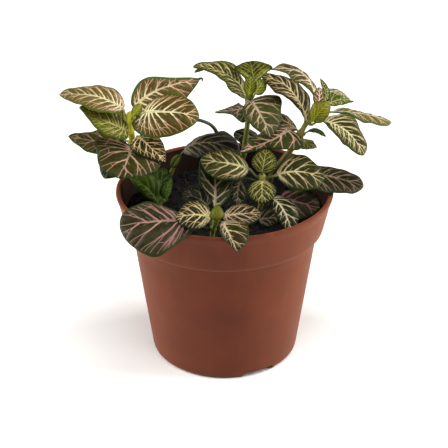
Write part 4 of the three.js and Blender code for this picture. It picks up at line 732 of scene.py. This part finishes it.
def to_segments(p, A, B, wa, wb, chunk=600):
    """Distance of points to segments, with the segment's own half width at the nearest point."""
    AB = B - A
    L2 = np.maximum((AB**2).sum(1), 1e-9)
    for i in range(0, len(p), chunk):
        q = p[i : i + chunk, None, :]
        t = np.clip(((q - A) * AB).sum(-1) / L2, 0, 1)
        near = A + AB * t[..., None]
        d = np.linalg.norm(q - near, axis=-1)
        yield i, d, wa + (wb - wa) * t


STEP = 0.45
DRIP = {"a_back_top": [(-0.6, 0.0, 0.0), (0.3, 0.0, 0.35), (0.95, -0.1, 0.5), (1.35, -0.2, 0.2), (1.4, -0.25, -0.35), (1.1, -0.25, -0.8)]}


def build_leaf(row):
    leaf = Leaf(row)
    look = LOOKS[leaf.name]
    pairs, vw, net = look[5], look[6], look[7]
    veins = venation(leaf, pairs, vw, net)
    step = STEP * (0.70 + 0.30 * leaf.size)
    # margin
    fine_u = 0.5 - 0.5 * np.cos(np.linspace(0, np.pi, 500))
    fine_u = np.clip(fine_u, 2e-4, 1 - 1e-5)

    def resample(side):
        p = leaf.flat(fine_u, np.full_like(fine_u, side))
        s = np.concatenate([[0], np.cumsum(np.linalg.norm(np.diff(p, axis=0), axis=1))])
        n = max(12, int(s[-1] / (step * 1.05)))
        return np.interp(np.linspace(0, s[-1], n), s, fine_u)

    ur, ul = resample(1.0), resample(-1.0)
    uv = [(a, 1.0) for a in ur] + [(a, -1.0) for a in ul[::-1][1:-1]]
    n_margin = len(uv)
    margin = leaf.flat(np.array([a for a, _ in uv]), np.array([b for _, b in uv]))
    # candidate points: vein centre lines, then vein sides, then rings inside the margin, then fill
    cand, rad, seg = [], [], [[], [], [], [], [], []]
    for pts, hw, order, alpha in veins:
        xy = leaf.flat(pts[:, 0], pts[:, 1])
        s = np.concatenate([[0], np.cumsum(np.linalg.norm(np.diff(xy, axis=0), axis=1))])
        if s[-1] < 0.3:
            continue
        n = max(2, int(s[-1] / step) + 1)
        g = np.linspace(0, s[-1], n)
        pu, pv, pw = np.interp(g, s, pts[:, 0]), np.interp(g, s, pts[:, 1]), np.interp(g, s, hw)
        q = leaf.flat(pu, pv)
        seg[0].append(q[:-1]), seg[1].append(q[1:]), seg[2].append(pw[:-1]), seg[3].append(pw[1:])
        seg[4].append(np.full(n - 1, alpha)), seg[5].append(np.full(n - 1, order))
        for a, b in zip(pu, pv):
            cand.append((a, b)), rad.append(0.14 if order < 3 else 0.18)
        # sides
        t = unit(np.gradient(q, axis=0)) if n > 2 else unit(np.repeat(q[1:] - q[:1], 2, 0))
        nrm = np.stack([-t[:, 1], t[:, 0]], 1)
        eps = 1e-3
        j0 = (leaf.flat(np.clip(pu + eps, 0, 1), pv) - leaf.flat(np.clip(pu - eps, 0, 1), pv)) / (2 * eps)
        wloc = np.maximum(leaf.w(pu, pv), 0.4)
        for off, need in ((0.78, 0.30), (1.32, 0.0)):
            for sg in (-1, 1):
                o = pw * off + (0.07 if off > 1 else 0)
                sel = pw > need if need else np.ones(n, bool)
                d = nrm * (o * sg)[:, None]
                du = d[:, 0] / np.maximum(j0[:, 0], leaf.length * 0.4)
                dv = d[:, 1] / wloc
                for a, b, k in zip(pu + du, pv + dv, sel):
                    if k:
                        cand.append((a, b)), rad.append(0.13)
    for depth in (0.34, 1.0):
        for us, sd in ((ur, 1.0), (ul, -1.0)):
            ww = leaf.w(us, np.full_like(us, sd))
            for a, w_ in zip(us, ww):
                if w_ > depth * 2.2:
                    cand.append((a, sd * (1 - depth / w_))), rad.append(0.26 if depth < 0.5 else 0.5)
    g = 0.85
    g *= 0.72 + 0.28 * leaf.size
    row_i = 0
    for X in np.arange(0.4, leaf.length, g * 0.87):
        row_i += 1
        uu = float(leaf.inv(X))
        for sd in (-1.0, 1.0):
            w_ = float(leaf.w(np.array(uu), np.array(sd)))
            for Y in np.arange(g * (0.25 if row_i % 2 else 0.75), w_ - 0.4, g):
                cand.append((uu + leaf.rng.uniform(-0.2, 0.2) * g / leaf.length, sd * (Y + leaf.rng.uniform(-0.15, 0.15) * g) / w_))
                rad.append(g * 0.62)
    cand = np.array(cand)
    rad = np.array(rad)
    ok = (cand[:, 0] > 0.003) & (cand[:, 0] < 0.992) & (np.abs(cand[:, 1]) < 0.985)
    cand, rad = cand[ok], rad[ok]
    xy = leaf.flat(cand[:, 0], cand[:, 1])
    A, B = margin, np.roll(margin, -1, 0)
    dm = np.empty(len(xy))
    for i, d, _ in to_segments(xy, A, B, 0.0, 0.0):
        dm[i : i + len(d)] = d.min(1)
    ok = dm > 0.16
    cand, rad, xy = cand[ok], rad[ok], xy[ok]
    allxy = np.concatenate([margin, xy])
    allr = np.concatenate([np.zeros(n_margin), rad])
    keep = thin_out([tuple(p) for p in allxy], allr)
    keep = [k for k in keep if k < n_margin] + [k for k in keep if k >= n_margin]
    keep = list(range(n_margin)) + [k for k in keep if k >= n_margin]
    UV = np.concatenate([np.array(uv), cand])[keep]
    XY = allxy[keep]
    res = geometry.delaunay_2d_cdt([Vector(p) for p in XY], [], [list(range(n_margin))], 1, 1e-5)
    out_xy, tris, orig = res[0], res[2], res[3]
    idx = np.array([o[0] if len(o) else -1 for o in orig])
    if (idx < 0).any():
        new = np.array([list(p) for p in out_xy])
        for k in np.where(idx < 0)[0]:
            idx[k] = int(np.argmin(((XY - new[k]) ** 2).sum(1)))
    UV, XY = UV[idx], XY[idx]
    on_edge = idx < n_margin
    tris = np.array([list(f) for f in tris if len(f) == 3])
    used = np.unique(tris)
    remap = -np.ones(len(UV), int)
    remap[used] = np.arange(len(used))
    UV, XY, on_edge, tris = UV[used], XY[used], on_edge[used], remap[tris]
    # distances
    SA, SB = np.concatenate(seg[0]), np.concatenate(seg[1])
    wa, wb = np.concatenate(seg[2]), np.concatenate(seg[3])
    al, od = np.concatenate(seg[4]), np.concatenate(seg[5])
    mask, groove, dmain = np.empty(len(XY)), np.empty(len(XY)), np.empty(len(XY))
    for i, d, w in to_segments(XY, SA, SB, wa, wb):
        f = d / w
        m = al * (1 - smooth(f, 0.82, 1.32 + 0.04 / np.maximum(w, 0.05)))
        mask[i : i + len(d)] = m.max(1)
        depth = np.where(od < 3, 1.0, 0.35) * np.exp(-((d / (w * 1.15 + 0.12)) ** 2))
        groove[i : i + len(d)] = depth.max(1)
        dmain[i : i + len(d)] = np.where(od < 3, d - w, 99.0).min(1)
    edge = np.empty(len(XY))
    for i, d, _ in to_segments(XY, A, B, 0.0, 0.0):
        edge[i : i + len(d)] = d.min(1)
    edge[on_edge] = 0.0
    dmain = np.clip(dmain, 0, 50)
    u, v = UV[:, 0], UV[:, 1]
    P, n = leaf.sheet(u, v), leaf.normal(u, v)
    z = leaf.size
    thick = 0.24 * np.sqrt(np.clip(1 - (1 - np.clip(edge / 0.4, 0, 1)) ** 2, 0, 1))
    bul = 0.52 * z * (1 - np.exp(-((dmain / 1.25) ** 2))) * smooth(edge, 0.2, 2.0)
    top = P + n * (thick + bul - 0.16 * z * groove * smooth(edge, 0.0, 1.0))[:, None]
    rib = np.where(on_edge, 0.0, 0.26 * z * groove * smooth(edge, 0.0, 1.0))
    bot = P - n * (thick - 0.9 * bul + rib)[:, None]
    # faces: upper side, lower side, sharing the margin
    nv = len(P)
    low = np.arange(nv) + nv
    inner = np.where(~on_edge)[0]
    low_index = np.arange(nv)
    low_index[inner] = nv + np.arange(len(inner))
    verts = np.concatenate([top, bot[inner]])
    a, b, c = P[tris[:, 0]], P[tris[:, 1]], P[tris[:, 2]]
    fn = np.cross(b - a, c - a)
    if (fn * n[tris].mean(1)).sum() < 0:
        tris = tris[:, ::-1]
    # a triangle whose three corners all lie on the margin would be doubled: its lower copy gets a middle point
    faces = [tuple(t) for t in tris]
    mi = [0] * len(faces)
    # and so would an edge that crosses from margin to margin: its lower copy gets a point half way
    extra, extra_uv = [], []
    used_by = {}
    for t in tris:
        for i, j in ((t[0], t[1]), (t[1], t[2]), (t[2], t[0])):
            if on_edge[i] and on_edge[j]:
                key = (min(i, j), max(i, j))
                used_by[key] = used_by.get(key, 0) + 1
    chord = {}
    for (i, j), count in used_by.items():
        if count == 2:
            chord[(i, j)] = len(verts) + len(extra)
            extra.append((P[i] + P[j]) / 2 - (n[i] + n[j]) * 0.02)
            extra_uv.append([i, j, i])
    for t in tris:
        loop, first = [], None
        for i, j in ((t[2], t[1]), (t[1], t[0]), (t[0], t[2])):
            loop.append(int(low_index[i]))
            k = chord.get((min(i, j), max(i, j)))
            if k is not None:
                first = len(loop) if first is None else first
                loop.append(k)
        if on_edge[t].all():
            k = len(verts) + len(extra)
            extra.append(P[t].mean(0) - n[t].mean(0) * 0.06)
            extra_uv.append(t)
            cut = [(loop[q], loop[(q + 1) % len(loop)], k) for q in range(len(loop))]
        elif first is None:
            cut = [tuple(loop)]
        else:
            loop = loop[first:] + loop[:first]
            cut = [(loop[0], loop[q], loop[q + 1]) for q in range(1, len(loop) - 1)]
        faces += cut
        mi += [1] * len(cut)
    cell = smooth(dmain, 0.0, 1.5)
    radv = np.clip(0.45 * u + 0.62 * np.abs(v), 0, 1)
    fl = {"vein": mask, "edge": edge, "rad": radv, "cell": cell}
    floats = {k: np.concatenate([x, x[inner]]) for k, x in fl.items()}
    if extra:
        verts = np.concatenate([verts, np.array(extra)])
        ex = np.array(extra_uv)
        floats = {k: np.concatenate([x, fl[k][ex].mean(1)]) for k, x in floats.items()}
    # petiole, running on as the midrib under the blade
    t0 = leaf.tangent(np.array([0.0]))[0]
    reach = np.linalg.norm(leaf.S - leaf.B)
    start = leaf.S - leaf.out * 1.1
    P1, P2 = leaf.S + leaf.out * 0.38 * reach, leaf.B - t0 * 0.38 * reach
    nst = max(8, int(reach / 0.9))
    f = np.linspace(0, 1, nst)[:, None]
    stalk = leaf.S * (1 - f) ** 3 + P1 * 3 * f * (1 - f) ** 2 + P2 * 3 * f * f * (1 - f) + leaf.B * f**3
    uu = np.linspace(0.0, 0.86, 22)[1:]
    under = leaf.sheet(uu, np.full_like(uu, 1e-3)) - leaf.normal0(uu) * (0.12 + 0.30 * (1 - uu))[:, None] * (0.4 + 0.6 * z)
    line = np.concatenate([start[None], stalk, under])
    rp = 0.86 * (0.55 + 0.45 * z)
    r = np.concatenate([[rp * 1.15], rp * (1.22 - 0.25 * np.sin(np.pi * np.clip(f[:, 0], 0, 1))) * np.linspace(1.0, 0.82, nst), rp * (0.74 * (1 - uu) + 0.10)])
    if leaf.name in DRIP:
        # the drawn-out tip, a thick point that curls
        ue = np.array([0.90, 0.94, 0.975])
        tip = leaf.sheet(ue, np.full_like(ue, 1e-3)) - leaf.normal0(ue) * 0.10
        hook = leaf.T + np.array(DRIP[leaf.name])
        line = np.concatenate([line, tip, hook])
        r = np.concatenate([r, [0.30, 0.50, 0.66], np.linspace(0.72, 0.42, len(hook))])
    tan = unit(np.gradient(line, axis=0))
    sides = 12
    ref = unit(np.cross(leaf.normal0(np.array([0.02]))[0], t0))
    rings = []
    for p, t, rr in zip(line, tan, r):
        x = unit(ref - t * np.dot(ref, t))
        y = np.cross(t, x)
        ref = x
        an = np.arange(sides) * 2 * np.pi / sides
        rings.append(p + rr * (np.cos(an)[:, None] * x + np.sin(an)[:, None] * y * 0.88))
    rings = np.array(rings)
    o = len(verts)
    pv = rings.reshape(-1, 3)
    nr = len(line)
    caps = np.array([line[0], line[-1] + tan[-1] * r[-1] * 1.5])
    verts = np.concatenate([verts, pv, caps])
    for i in range(nr - 1):
        for j in range(sides):
            k = (j + 1) % sides
            faces.append((o + i * sides + j, o + i * sides + k, o + (i + 1) * sides + k, o + (i + 1) * sides + j))
            mi.append(0 if leaf.name in DRIP and i >= nr - 9 else 2)
    c0, c1 = o + nr * sides, o + nr * sides + 1
    for j in range(sides):
        k = (j + 1) % sides
        faces.append((c0, o + k, o + j)), mi.append(2)
        faces.append((c1, o + (nr - 1) * sides + j, o + (nr - 1) * sides + k)), mi.append(2)
    along = np.concatenate([np.repeat(np.linspace(0, 1, nr), sides), [0, 1]])
    for k in floats:
        add = along if k == "rad" else np.full(len(along), 0.0 if k == "vein" or leaf.name in DRIP else 9.0)
        floats[k] = np.concatenate([floats[k], add])
    me = make_mesh("blade_" + leaf.name, verts, faces, mi, True, floats)
    mats = [blade_top(leaf.name, look), blade_under(leaf.name, look), stalk_mat(leaf.name, look)]
    ob = add_piece("blade_" + leaf.name, me, ["leaf_" + leaf.name], mats)
    return leaf, ob


# ---------------------------------------------------------------- shoots


def catmull(P, n):
    P = np.asarray(P, float)
    E = np.concatenate([[2 * P[0] - P[1]], P, [2 * P[-1] - P[-2]]])
    out = []
    for x in np.linspace(0, len(P) - 1, n):
        i = min(int(x), len(P) - 2)
        t = x - i
        a, b, c, d = E[i], E[i + 1], E[i + 2], E[i + 3]
        out.append(0.5 * (2 * b + (c - a) * t + (2 * a - 5 * b + 4 * c - d) * t * t + (3 * b - a - 3 * c + d) * t**3))
    return np.array(out)


def build_stem(row, joints, tones):
    name, r0, r1, pts = row
    n = 90
    line = catmull(pts, n)
    r = np.linspace(r0, r1, n)
    s = np.concatenate([[0], np.cumsum(np.linalg.norm(np.diff(line, axis=0), axis=1))])
    for S in joints:
        j = int(np.argmin(np.linalg.norm(line - S, axis=1)))
        r = r + 0.30 * np.exp(-(((s - s[j]) / 1.7) ** 2)) * (r1 / 1.2)
    r = r + 0.25 * np.exp(-(((line[:, 2] - 85.5) / 2.0) ** 2))
    tan = unit(np.gradient(line, axis=0))
    sides = 18
    ref = np.array([1.0, 0, 0])
    rings = []
    for i, (p, t) in enumerate(zip(line, tan)):
        x = unit(ref - t * np.dot(ref, t))
        y = np.cross(t, x)
        ref = x
        an = np.arange(sides) * 2 * np.pi / sides
        wob = np.array([1 + 0.05 * math.cos(4 * a_ + 0.7) + 0.05 * noise.noise(Vector((3 * math.cos(a_), 3 * math.sin(a_), s[i] * 0.35))) for a_ in an])
        rings.append(p + (r[i] * wob)[:, None] * (np.cos(an)[:, None] * x + np.sin(an)[:, None] * y))
    rings = np.array(rings)
    tip = [line[-1] + tan[-1] * r1 * k for k in (0.45, 0.8)]
    tips = [p + (rings[-1] - line[-1]) * k for p, k in zip(tip, (0.82, 0.45))]
    rings = np.concatenate([rings, np.array(tips)])
    nr = len(rings)
    verts = np.concatenate([rings.reshape(-1, 3), [line[0], line[-1] + tan[-1] * r1 * 0.95]])
    faces = []
    for i in range(nr - 1):
        for j in range(sides):
            k = (j + 1) % sides
            faces.append((i * sides + j, i * sides + k, (i + 1) * sides + k, (i + 1) * sides + j))
    c0, c1 = nr * sides, nr * sides + 1
    for j in range(sides):
        k = (j + 1) % sides
        faces.append((c0, k, j))
        faces.append((c1, (nr - 1) * sides + j, (nr - 1) * sides + k))
    sp = np.clip(np.concatenate([s / s[-1], [1, 1]]), 0, 1)
    sp = np.concatenate([np.repeat(sp, sides), [0, 1]])
    me = make_mesh("shoot_" + name[5:], verts, faces, None, True, {"sp": sp})
    return add_piece("shoot_" + name[5:], me, [name], [stem_mat(name[5:], *tones)])


# ---------------------------------------------------------------- pot


def rounded(profile, cut):
    """Profile with its corners eased by two rounds of corner cutting, never more than `cut` mm from a corner."""
    P = [np.array(p, float) for p in profile]
    for k in (cut, cut * 0.45):
        out = [P[0]]
        for a, b, c in zip(P[:-2], P[1:-1], P[2:]):
            u, w = a - b, c - b
            lu, lw = np.linalg.norm(u), np.linalg.norm(w)
            ang = math.degrees(math.acos(np.clip(np.dot(u, w) / (lu * lw), -1, 1)))
            if ang > 176:
                out.append(b)
                continue
            out += [b + u / lu * min(k, lu * 0.3), b + w / lw * min(k, lw * 0.3)]
        out.append(P[-1])
        P = out
    return P


def revolve(profile, n):
    """Closed body of revolution: the profile starts and ends on the axis."""
    P = [p for p in profile]
    rows, verts, faces = [], [], []
    for r, z in P:
        if r < 1e-6:
            rows.append([len(verts)])
            verts.append((0, 0, z))
        else:
            rows.append(list(range(len(verts), len(verts) + n)))
            for j in range(n):
                a = 2 * math.pi * j / n
                verts.append((r * math.cos(a), r * math.sin(a), z))
    for a, b in zip(rows[:-1], rows[1:]):
        for j in range(n):
            k = (j + 1) % n
            if len(a) == 1 and len(b) == 1:
                continue
            if len(a) == 1:
                faces.append((a[0], b[k], b[j]))
            elif len(b) == 1:
                faces.append((a[j], a[k], b[0]))
            else:
                faces.append((a[j], a[k], b[k], b[j]))
    return np.array(verts), faces


def prism(section, x0, x1, deg):
    """Section in (y, z) swept along x, then turned about Z."""
    n = len(section)
    v = [(x, y, z) for x in (x0, x1) for y, z in section]
    f = [tuple(range(n - 1, -1, -1)), tuple(range(n, 2 * n))]
    for j in range(n):
        k = (j + 1) % n
        f.append((j, k, n + k, n + j))
    c, s = math.cos(math.radians(deg)), math.sin(math.radians(deg))
    return np.array([(x * c - y * s, x * s + y * c, z) for x, y, z in v]), f


def solid(name, verts, faces):
    me = make_mesh(name, verts, faces, None, False)
    bm = bmesh.new()
    bm.from_mesh(me)
    bmesh.ops.recalc_face_normals(bm, faces=bm.faces)
    bm.to_mesh(me)
    bm.free()
    ob = bpy.data.objects.new(name, me)
    bpy.context.scene.collection.objects.link(ob)
    return ob


def boolean(target, tool, op):
    mod = target.modifiers.new("cut", "BOOLEAN")
    mod.operation, mod.solver, mod.object = op, "EXACT", tool
    deps = bpy.context.evaluated_depsgraph_get()
    me = bpy.data.meshes.new_from_object(target.evaluated_get(deps))
    target.modifiers.clear()
    old = target.data
    target.data = me
    bpy.data.meshes.remove(old)
    bpy.data.objects.remove(tool)


def build_pot():
    outer = [(0, 0.5), (9, 0.5), (10.5, 0.0), (38.4, 0), (39.9, 0.5), (40.9, 1.9), (41.3, 4), (51.7, 75.7), (53.5, 75.7), (54.7, 76.6), (55.4, 79.1), (58.6, 93.4),
             (59.2, 95.0), (59.7, 96.4), (60, 97.4), (60, 98.3), (59.3, 99), (58, 99), (57.4, 98.4), (57.3, 95.6), (53.9, 79.7), (50.2, 76.9), (40.1, 6.7), (38.3, 3.4), (36.3, 2.2), (0, 2.2)]
    prof = rounded(outer, 0.45)
    # long straight walls get rows of their own, so attributes and shading have something to hold to
    dense = [prof[0]]
    for p in prof[1:]:
        a = dense[-1]
        k = int(np.linalg.norm(p - a) // 9)
        for i in range(1, k + 1):
            dense.append(a + (p - a) * i / (k + 1))
        dense.append(p)
    v, f = revolve(dense, 192)
    pot = solid("terracotta_pot", v, f)
    w, h = 9.5, 3.1
    angles = (-62, 58, 178)
    inv, inf = revolve([(0, 0.4), (40.1, 0.4), (40.6, 7), (0, 7)], 96)
    for deg in angles:
        bx = [(-w - 1.5, 0.4), (w + 1.5, 0.4), (w + 1.5, 4.2), (w + 0.9, 5.0), (-w - 0.9, 5.0), (-w - 1.5, 4.2)]
        roof = solid("roof", *prism(bx, 7.5, 60, deg))
        boolean(roof, solid("inside", inv, inf), "INTERSECT")
        boolean(pot, roof, "UNION")
    for deg in angles:
        sec = [(-w, -1), (w, -1), (w, h * 0.5), (w - 0.25, h * 0.72), (w - 0.8, h * 0.9), (w - 1.8, h), (1.8 - w, h), (0.8 - w, h * 0.9), (0.25 - w, h * 0.72), (-w, h * 0.5)]
        boolean(pot, solid("slot", *prism(sec, 9, 60, deg)), "DIFFERENCE")
        a = np.arange(40) * 2 * np.pi / 40
        ring = [(3.4 * math.cos(t), 3.4 * math.sin(t)) for t in a]
        c, s = math.cos(math.radians(deg)) * 25, math.sin(math.radians(deg)) * 25
        dv = np.array([(c + x, s + y, z) for z in (1.0, 9.0) for x, y in ring])
        df = [tuple(range(39, -1, -1)), tuple(range(40, 80))] + [(j, (j + 1) % 40, 40 + (j + 1) % 40, 40 + j) for j in range(40)]
        boolean(pot, solid("drain", dv, df), "DIFFERENCE")
    me = pot.data
    bm = bmesh.new()
    bm.from_mesh(me)
    bmesh.ops.remove_doubles(bm, verts=bm.verts, dist=1e-6)
    bmesh.ops.triangulate(bm, faces=[q for q in bm.faces if len(q.verts) > 4])
    bm.to_mesh(me)
    bm.free()
    co = np.array([q.co for q in me.vertices]) / MM
    rr = np.hypot(co[:, 0], co[:, 1])
    # mask of the inside wall, which the pot material paints near black as painted shade
    inner = ((rr < 57.45 - np.clip(98.6 - co[:, 2], 0, 99) * 0.02) & (co[:, 2] > 77) & (rr < 53.9 + 1.0 + (co[:, 2] - 79.7) * 0.216)) | ((co[:, 2] <= 77) & (rr < 40.1 + (co[:, 2] - 6.7) * 0.144 + 0.4) & (co[:, 2] > 2.4))
    lip = smooth(co[:, 2], 95.0, 98.8)
    for key, val in (("inner", inner.astype(float)), ("lip", lip)):
        at = me.attributes.new(key, "FLOAT", "POINT")
        at.data.foreach_set("value", val.astype(np.float32))
    me.polygons.foreach_set("use_smooth", np.full(len(me.polygons), True))
    me.set_sharp_from_angle(angle=math.radians(38))
    me.materials.clear()
    me.materials.append(pot_mat())
    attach(pot, "root")
    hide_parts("pot")
    return pot


# ---------------------------------------------------------------- soil


def build_soil():
    rng = np.random.default_rng(7)
    g = 0.80
    R = 54.75
    pts = []
    rows = int(R / (g * 0.87)) + 1
    for j in range(-rows, rows + 1):
        y = j * g * 0.87
        for i in range(-rows - 8, rows + 9):
            x = (i + (0.5 if j % 2 else 0)) * g
            if x * x + y * y < (R - g * 0.6) ** 2:
                pts.append((x, y))
    nb = int(2 * math.pi * R / g)
    ring = [(R * math.cos(2 * math.pi * k / nb), R * math.sin(2 * math.pi * k / nb)) for k in range(nb)]
    allp = ring + pts
    res = geometry.delaunay_2d_cdt([Vector(p) for p in allp], [], [list(range(nb))], 1, 1e-5)
    xy = np.array([list(p) for p in res[0]])
    tris = [tuple(f) for f in res[2]]
    orig = [o[0] if o else 10**9 for o in res[3]]

    def height(x, y):
        def nz(f, o):
            return noise.noise(Vector((x * f + o, y * f - o, o * 0.37)))

        h = 0.9 * nz(0.11, 3.1) + 1.15 * abs(nz(0.27, 11.0)) + 1.0 * abs(nz(0.52, 23.0)) + 0.55 * nz(1.05, 5.0) + 0.30 * nz(2.1, 9.0)
        r = math.hypot(x, y)
        return 84.75 + h - 0.7 * max(0.0, (r - 48) / 7) ** 2

    z = np.array([height(x, y) for x, y in xy])
    top = np.column_stack([xy, z])
    # sides and underside follow the inside of the pot, a little clear of it
    prof = [(53.6, 79.0), (51.2, 77.2), (49.6, 76.4), (46.0, 52.0), (42.2, 26.0), (39.9, 9.2), (37.6, 5.3), (0, 5.3)]
    ring_ids = [None] * nb
    for i, o in enumerate(orig):
        if o < nb:
            ring_ids[o] = i
    verts = [tuple(p) for p in top]
    faces = list(tris)
    prev = ring_ids
    for r, zz in prof:
        if r == 0:
            c = len(verts)
            verts.append((0, 0, zz))
            for k in range(nb):
                faces.append((prev[k], c, prev[(k + 1) % nb]))
            break
        cur = []
        for k in range(nb):
            a = 2 * math.pi * k / nb
            cur.append(len(verts))
            verts.append((r * math.cos(a), r * math.sin(a), zz))
        for k in range(nb):
            l = (k + 1) % nb
            faces.append((prev[k], cur[k], cur[l], prev[l]))
        prev = cur
    bark = [0.0] * len(verts)
    # crumbs, bark and fibres lying on the surface
    ico = bmesh.new()
    bmesh.ops.create_icosphere(ico, subdivisions=2, radius=1.0)
    iv = np.array([p.co for p in ico.verts])
    itri = [tuple(q.index for q in fc.verts) for fc in ico.faces]
    ico.free()
    stems_xy = [np.array(catmull(r[3], 60)) for r in STEMS]
    feet = [p[np.argmin(np.abs(p[:, 2] - 85.5)), :2] for p in stems_xy]
    for k in range(520):
        a, rr = rng.uniform(0, 2 * math.pi), 53.0 * math.sqrt(rng.uniform(0, 1))
        x, y = rr * math.cos(a), rr * math.sin(a)
        if any(np.hypot(*(np.array([x, y]) - f)) < 3.2 for f in feet):
            continue
        kind = rng.uniform()
        size = rng.uniform(0.45, 1.25) if kind < 0.8 else rng.uniform(1.1, 2.2)
        sc = np.array([1.0, rng.uniform(0.6, 1.0), rng.uniform(0.45, 0.8)]) * size
        if kind > 0.9:
            sc = np.array([rng.uniform(2.2, 3.8), rng.uniform(0.35, 0.7), 0.35])
        if rr + sc.max() > 54.2:
            continue
        q = iv.copy()
        o = rng.uniform(0, 50)
        q *= np.array([1 + 0.5 * noise.noise(Vector((p[0] * 1.3 + o, p[1] * 1.3, p[2] * 1.3 - o))) for p in q])[:, None]
        q = q * sc
        t1, t2 = rng.uniform(0, 2 * math.pi), rng.uniform(-0.5, 0.5)
        cz, sz, cx, sx = math.cos(t1), math.sin(t1), math.cos(t2), math.sin(t2)
        q = np.column_stack([q[:, 0], q[:, 1] * cx - q[:, 2] * sx, q[:, 1] * sx + q[:, 2] * cx])
        q = np.column_stack([q[:, 0] * cz - q[:, 1] * sz, q[:, 0] * sz + q[:, 1] * cz, q[:, 2]])
        q += np.array([x, y, height(x, y) + 0.25 * sc[2]])
        o = len(verts)
        verts += [tuple(p) for p in q]
        faces += [(a_ + o, b_ + o, c_ + o) for a_, b_, c_ in itri]
        bark += [1.0 if kind > 0.9 else (0.5 if kind > 0.8 else 0.0)] * len(q)
    me = make_mesh("potting_mix", np.array(verts), faces, None, True, {"bark": bark})
    return add_piece("potting_mix", me, ["soil"], [soil_mat()])


# ---------------------------------------------------------------- the plant
build_pot()
build_soil()
all_leaves = [build_leaf(row)[0] for row in LEAVES]
TONES = {
    "stem_left": ("#74742a", "#c4c43c"),
    "stem_centre_back": ("#3f4020", "#8f9838"),
    "stem_right": ("#5a4a2a", "#8d8a3c"),
    "stem_centre_front": ("#625d2c", "#b0a955"),
    "stem_front": ("#5a6233", "#98a444"),
    "stem_back_left": ("#46521c", "#6c7c2c"),
    "stem_arching": ("#28341a", "#3e4a2c"),
}
for row in STEMS:
    line = np.array(catmull(row[3], 80))
    joints = [lf.S for lf in all_leaves if np.linalg.norm(line - lf.S, axis=1).min() < 3.0]
    build_stem(row, joints, TONES[row[0]])

# ---------------------------------------------------------------- stage
sc = bpy.context.scene
sc.view_settings.view_transform = "Standard"
sc.view_settings.look = "None"
sc.view_settings.exposure = 0.0
sc.view_settings.gamma = 1.0

world = bpy.data.worlds.new("studio")
sc.world = world
world.use_nodes = True
bg = world.node_tree.nodes["Background"]
bg.inputs["Color"].default_value = (1.0, 1.0, 1.0, 1.0)
bg.inputs["Strength"].default_value = 0.14

fm = bpy.data.meshes.new("floor")
fm.from_pydata([(-6, -6, 0), (6, -6, 0), (6, 6, 0), (-6, 6, 0)], [], [(0, 1, 2, 3)])
floor = bpy.data.objects.new("floor", fm)
sc.collection.objects.link(floor)
fmat = bpy.data.materials.new("pale_floor")
fmat.use_nodes = True
fb = fmat.node_tree.nodes["Principled BSDF"]
fb.inputs["Base Color"].default_value = (0.93, 0.935, 0.94, 1)
fb.inputs["Roughness"].default_value = 0.9
fb.inputs["Specular IOR Level"].default_value = 0.1
fm.materials.append(fmat)
floor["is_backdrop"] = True


def area(name, loc, target, size, power, color=(1, 1, 1)):
    d = bpy.data.lights.new(name, "AREA")
    d.shape, d.size, d.size_y, d.energy, d.color = "RECTANGLE", size[0], size[1], power, color
    o = bpy.data.objects.new(name, d)
    o.location = loc
    o.rotation_euler = (Vector(target) - Vector(loc)).to_track_quat("-Z", "Y").to_euler()
    sc.collection.objects.link(o)
    return o


area("left_box", (-2.3, 0.35, 1.05), (0, 0, 0.05), (1.6, 1.8), 90.0, (1.0, 0.965, 0.92))
area("right_box", (2.3, 0.2, 1.05), (0, 0, 0.05), (1.6, 1.8), 104.0, (1.0, 0.965, 0.92))
area("top_box", (0.15, -0.95, 2.35), (0, 0, 0.08), (1.2, 1.2), 36.0, (1.0, 0.99, 0.975))

cam_data = bpy.data.cameras.new("camera")
cam_data.sensor_width = 36.0
cam_data.lens = 129.62
cam_data.clip_start, cam_data.clip_end = 0.05, 30.0
cam = bpy.data.objects.new("camera", cam_data)
elev = math.radians(27.742)
aim = Vector((-0.000386, 0.0, 0.076175))
cam.location = aim + Vector((0.0, -math.cos(elev), math.sin(elev))) * 0.9
cam.rotation_euler = (math.pi / 2 - elev, 0.0, 0.0)
sc.collection.objects.link(cam)
sc.camera = cam

vis_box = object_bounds()
flat = lambda b: [[float(c) for c in p] for p in b]
{"cad": flat(cad_box), "visual": flat(vis_box)}
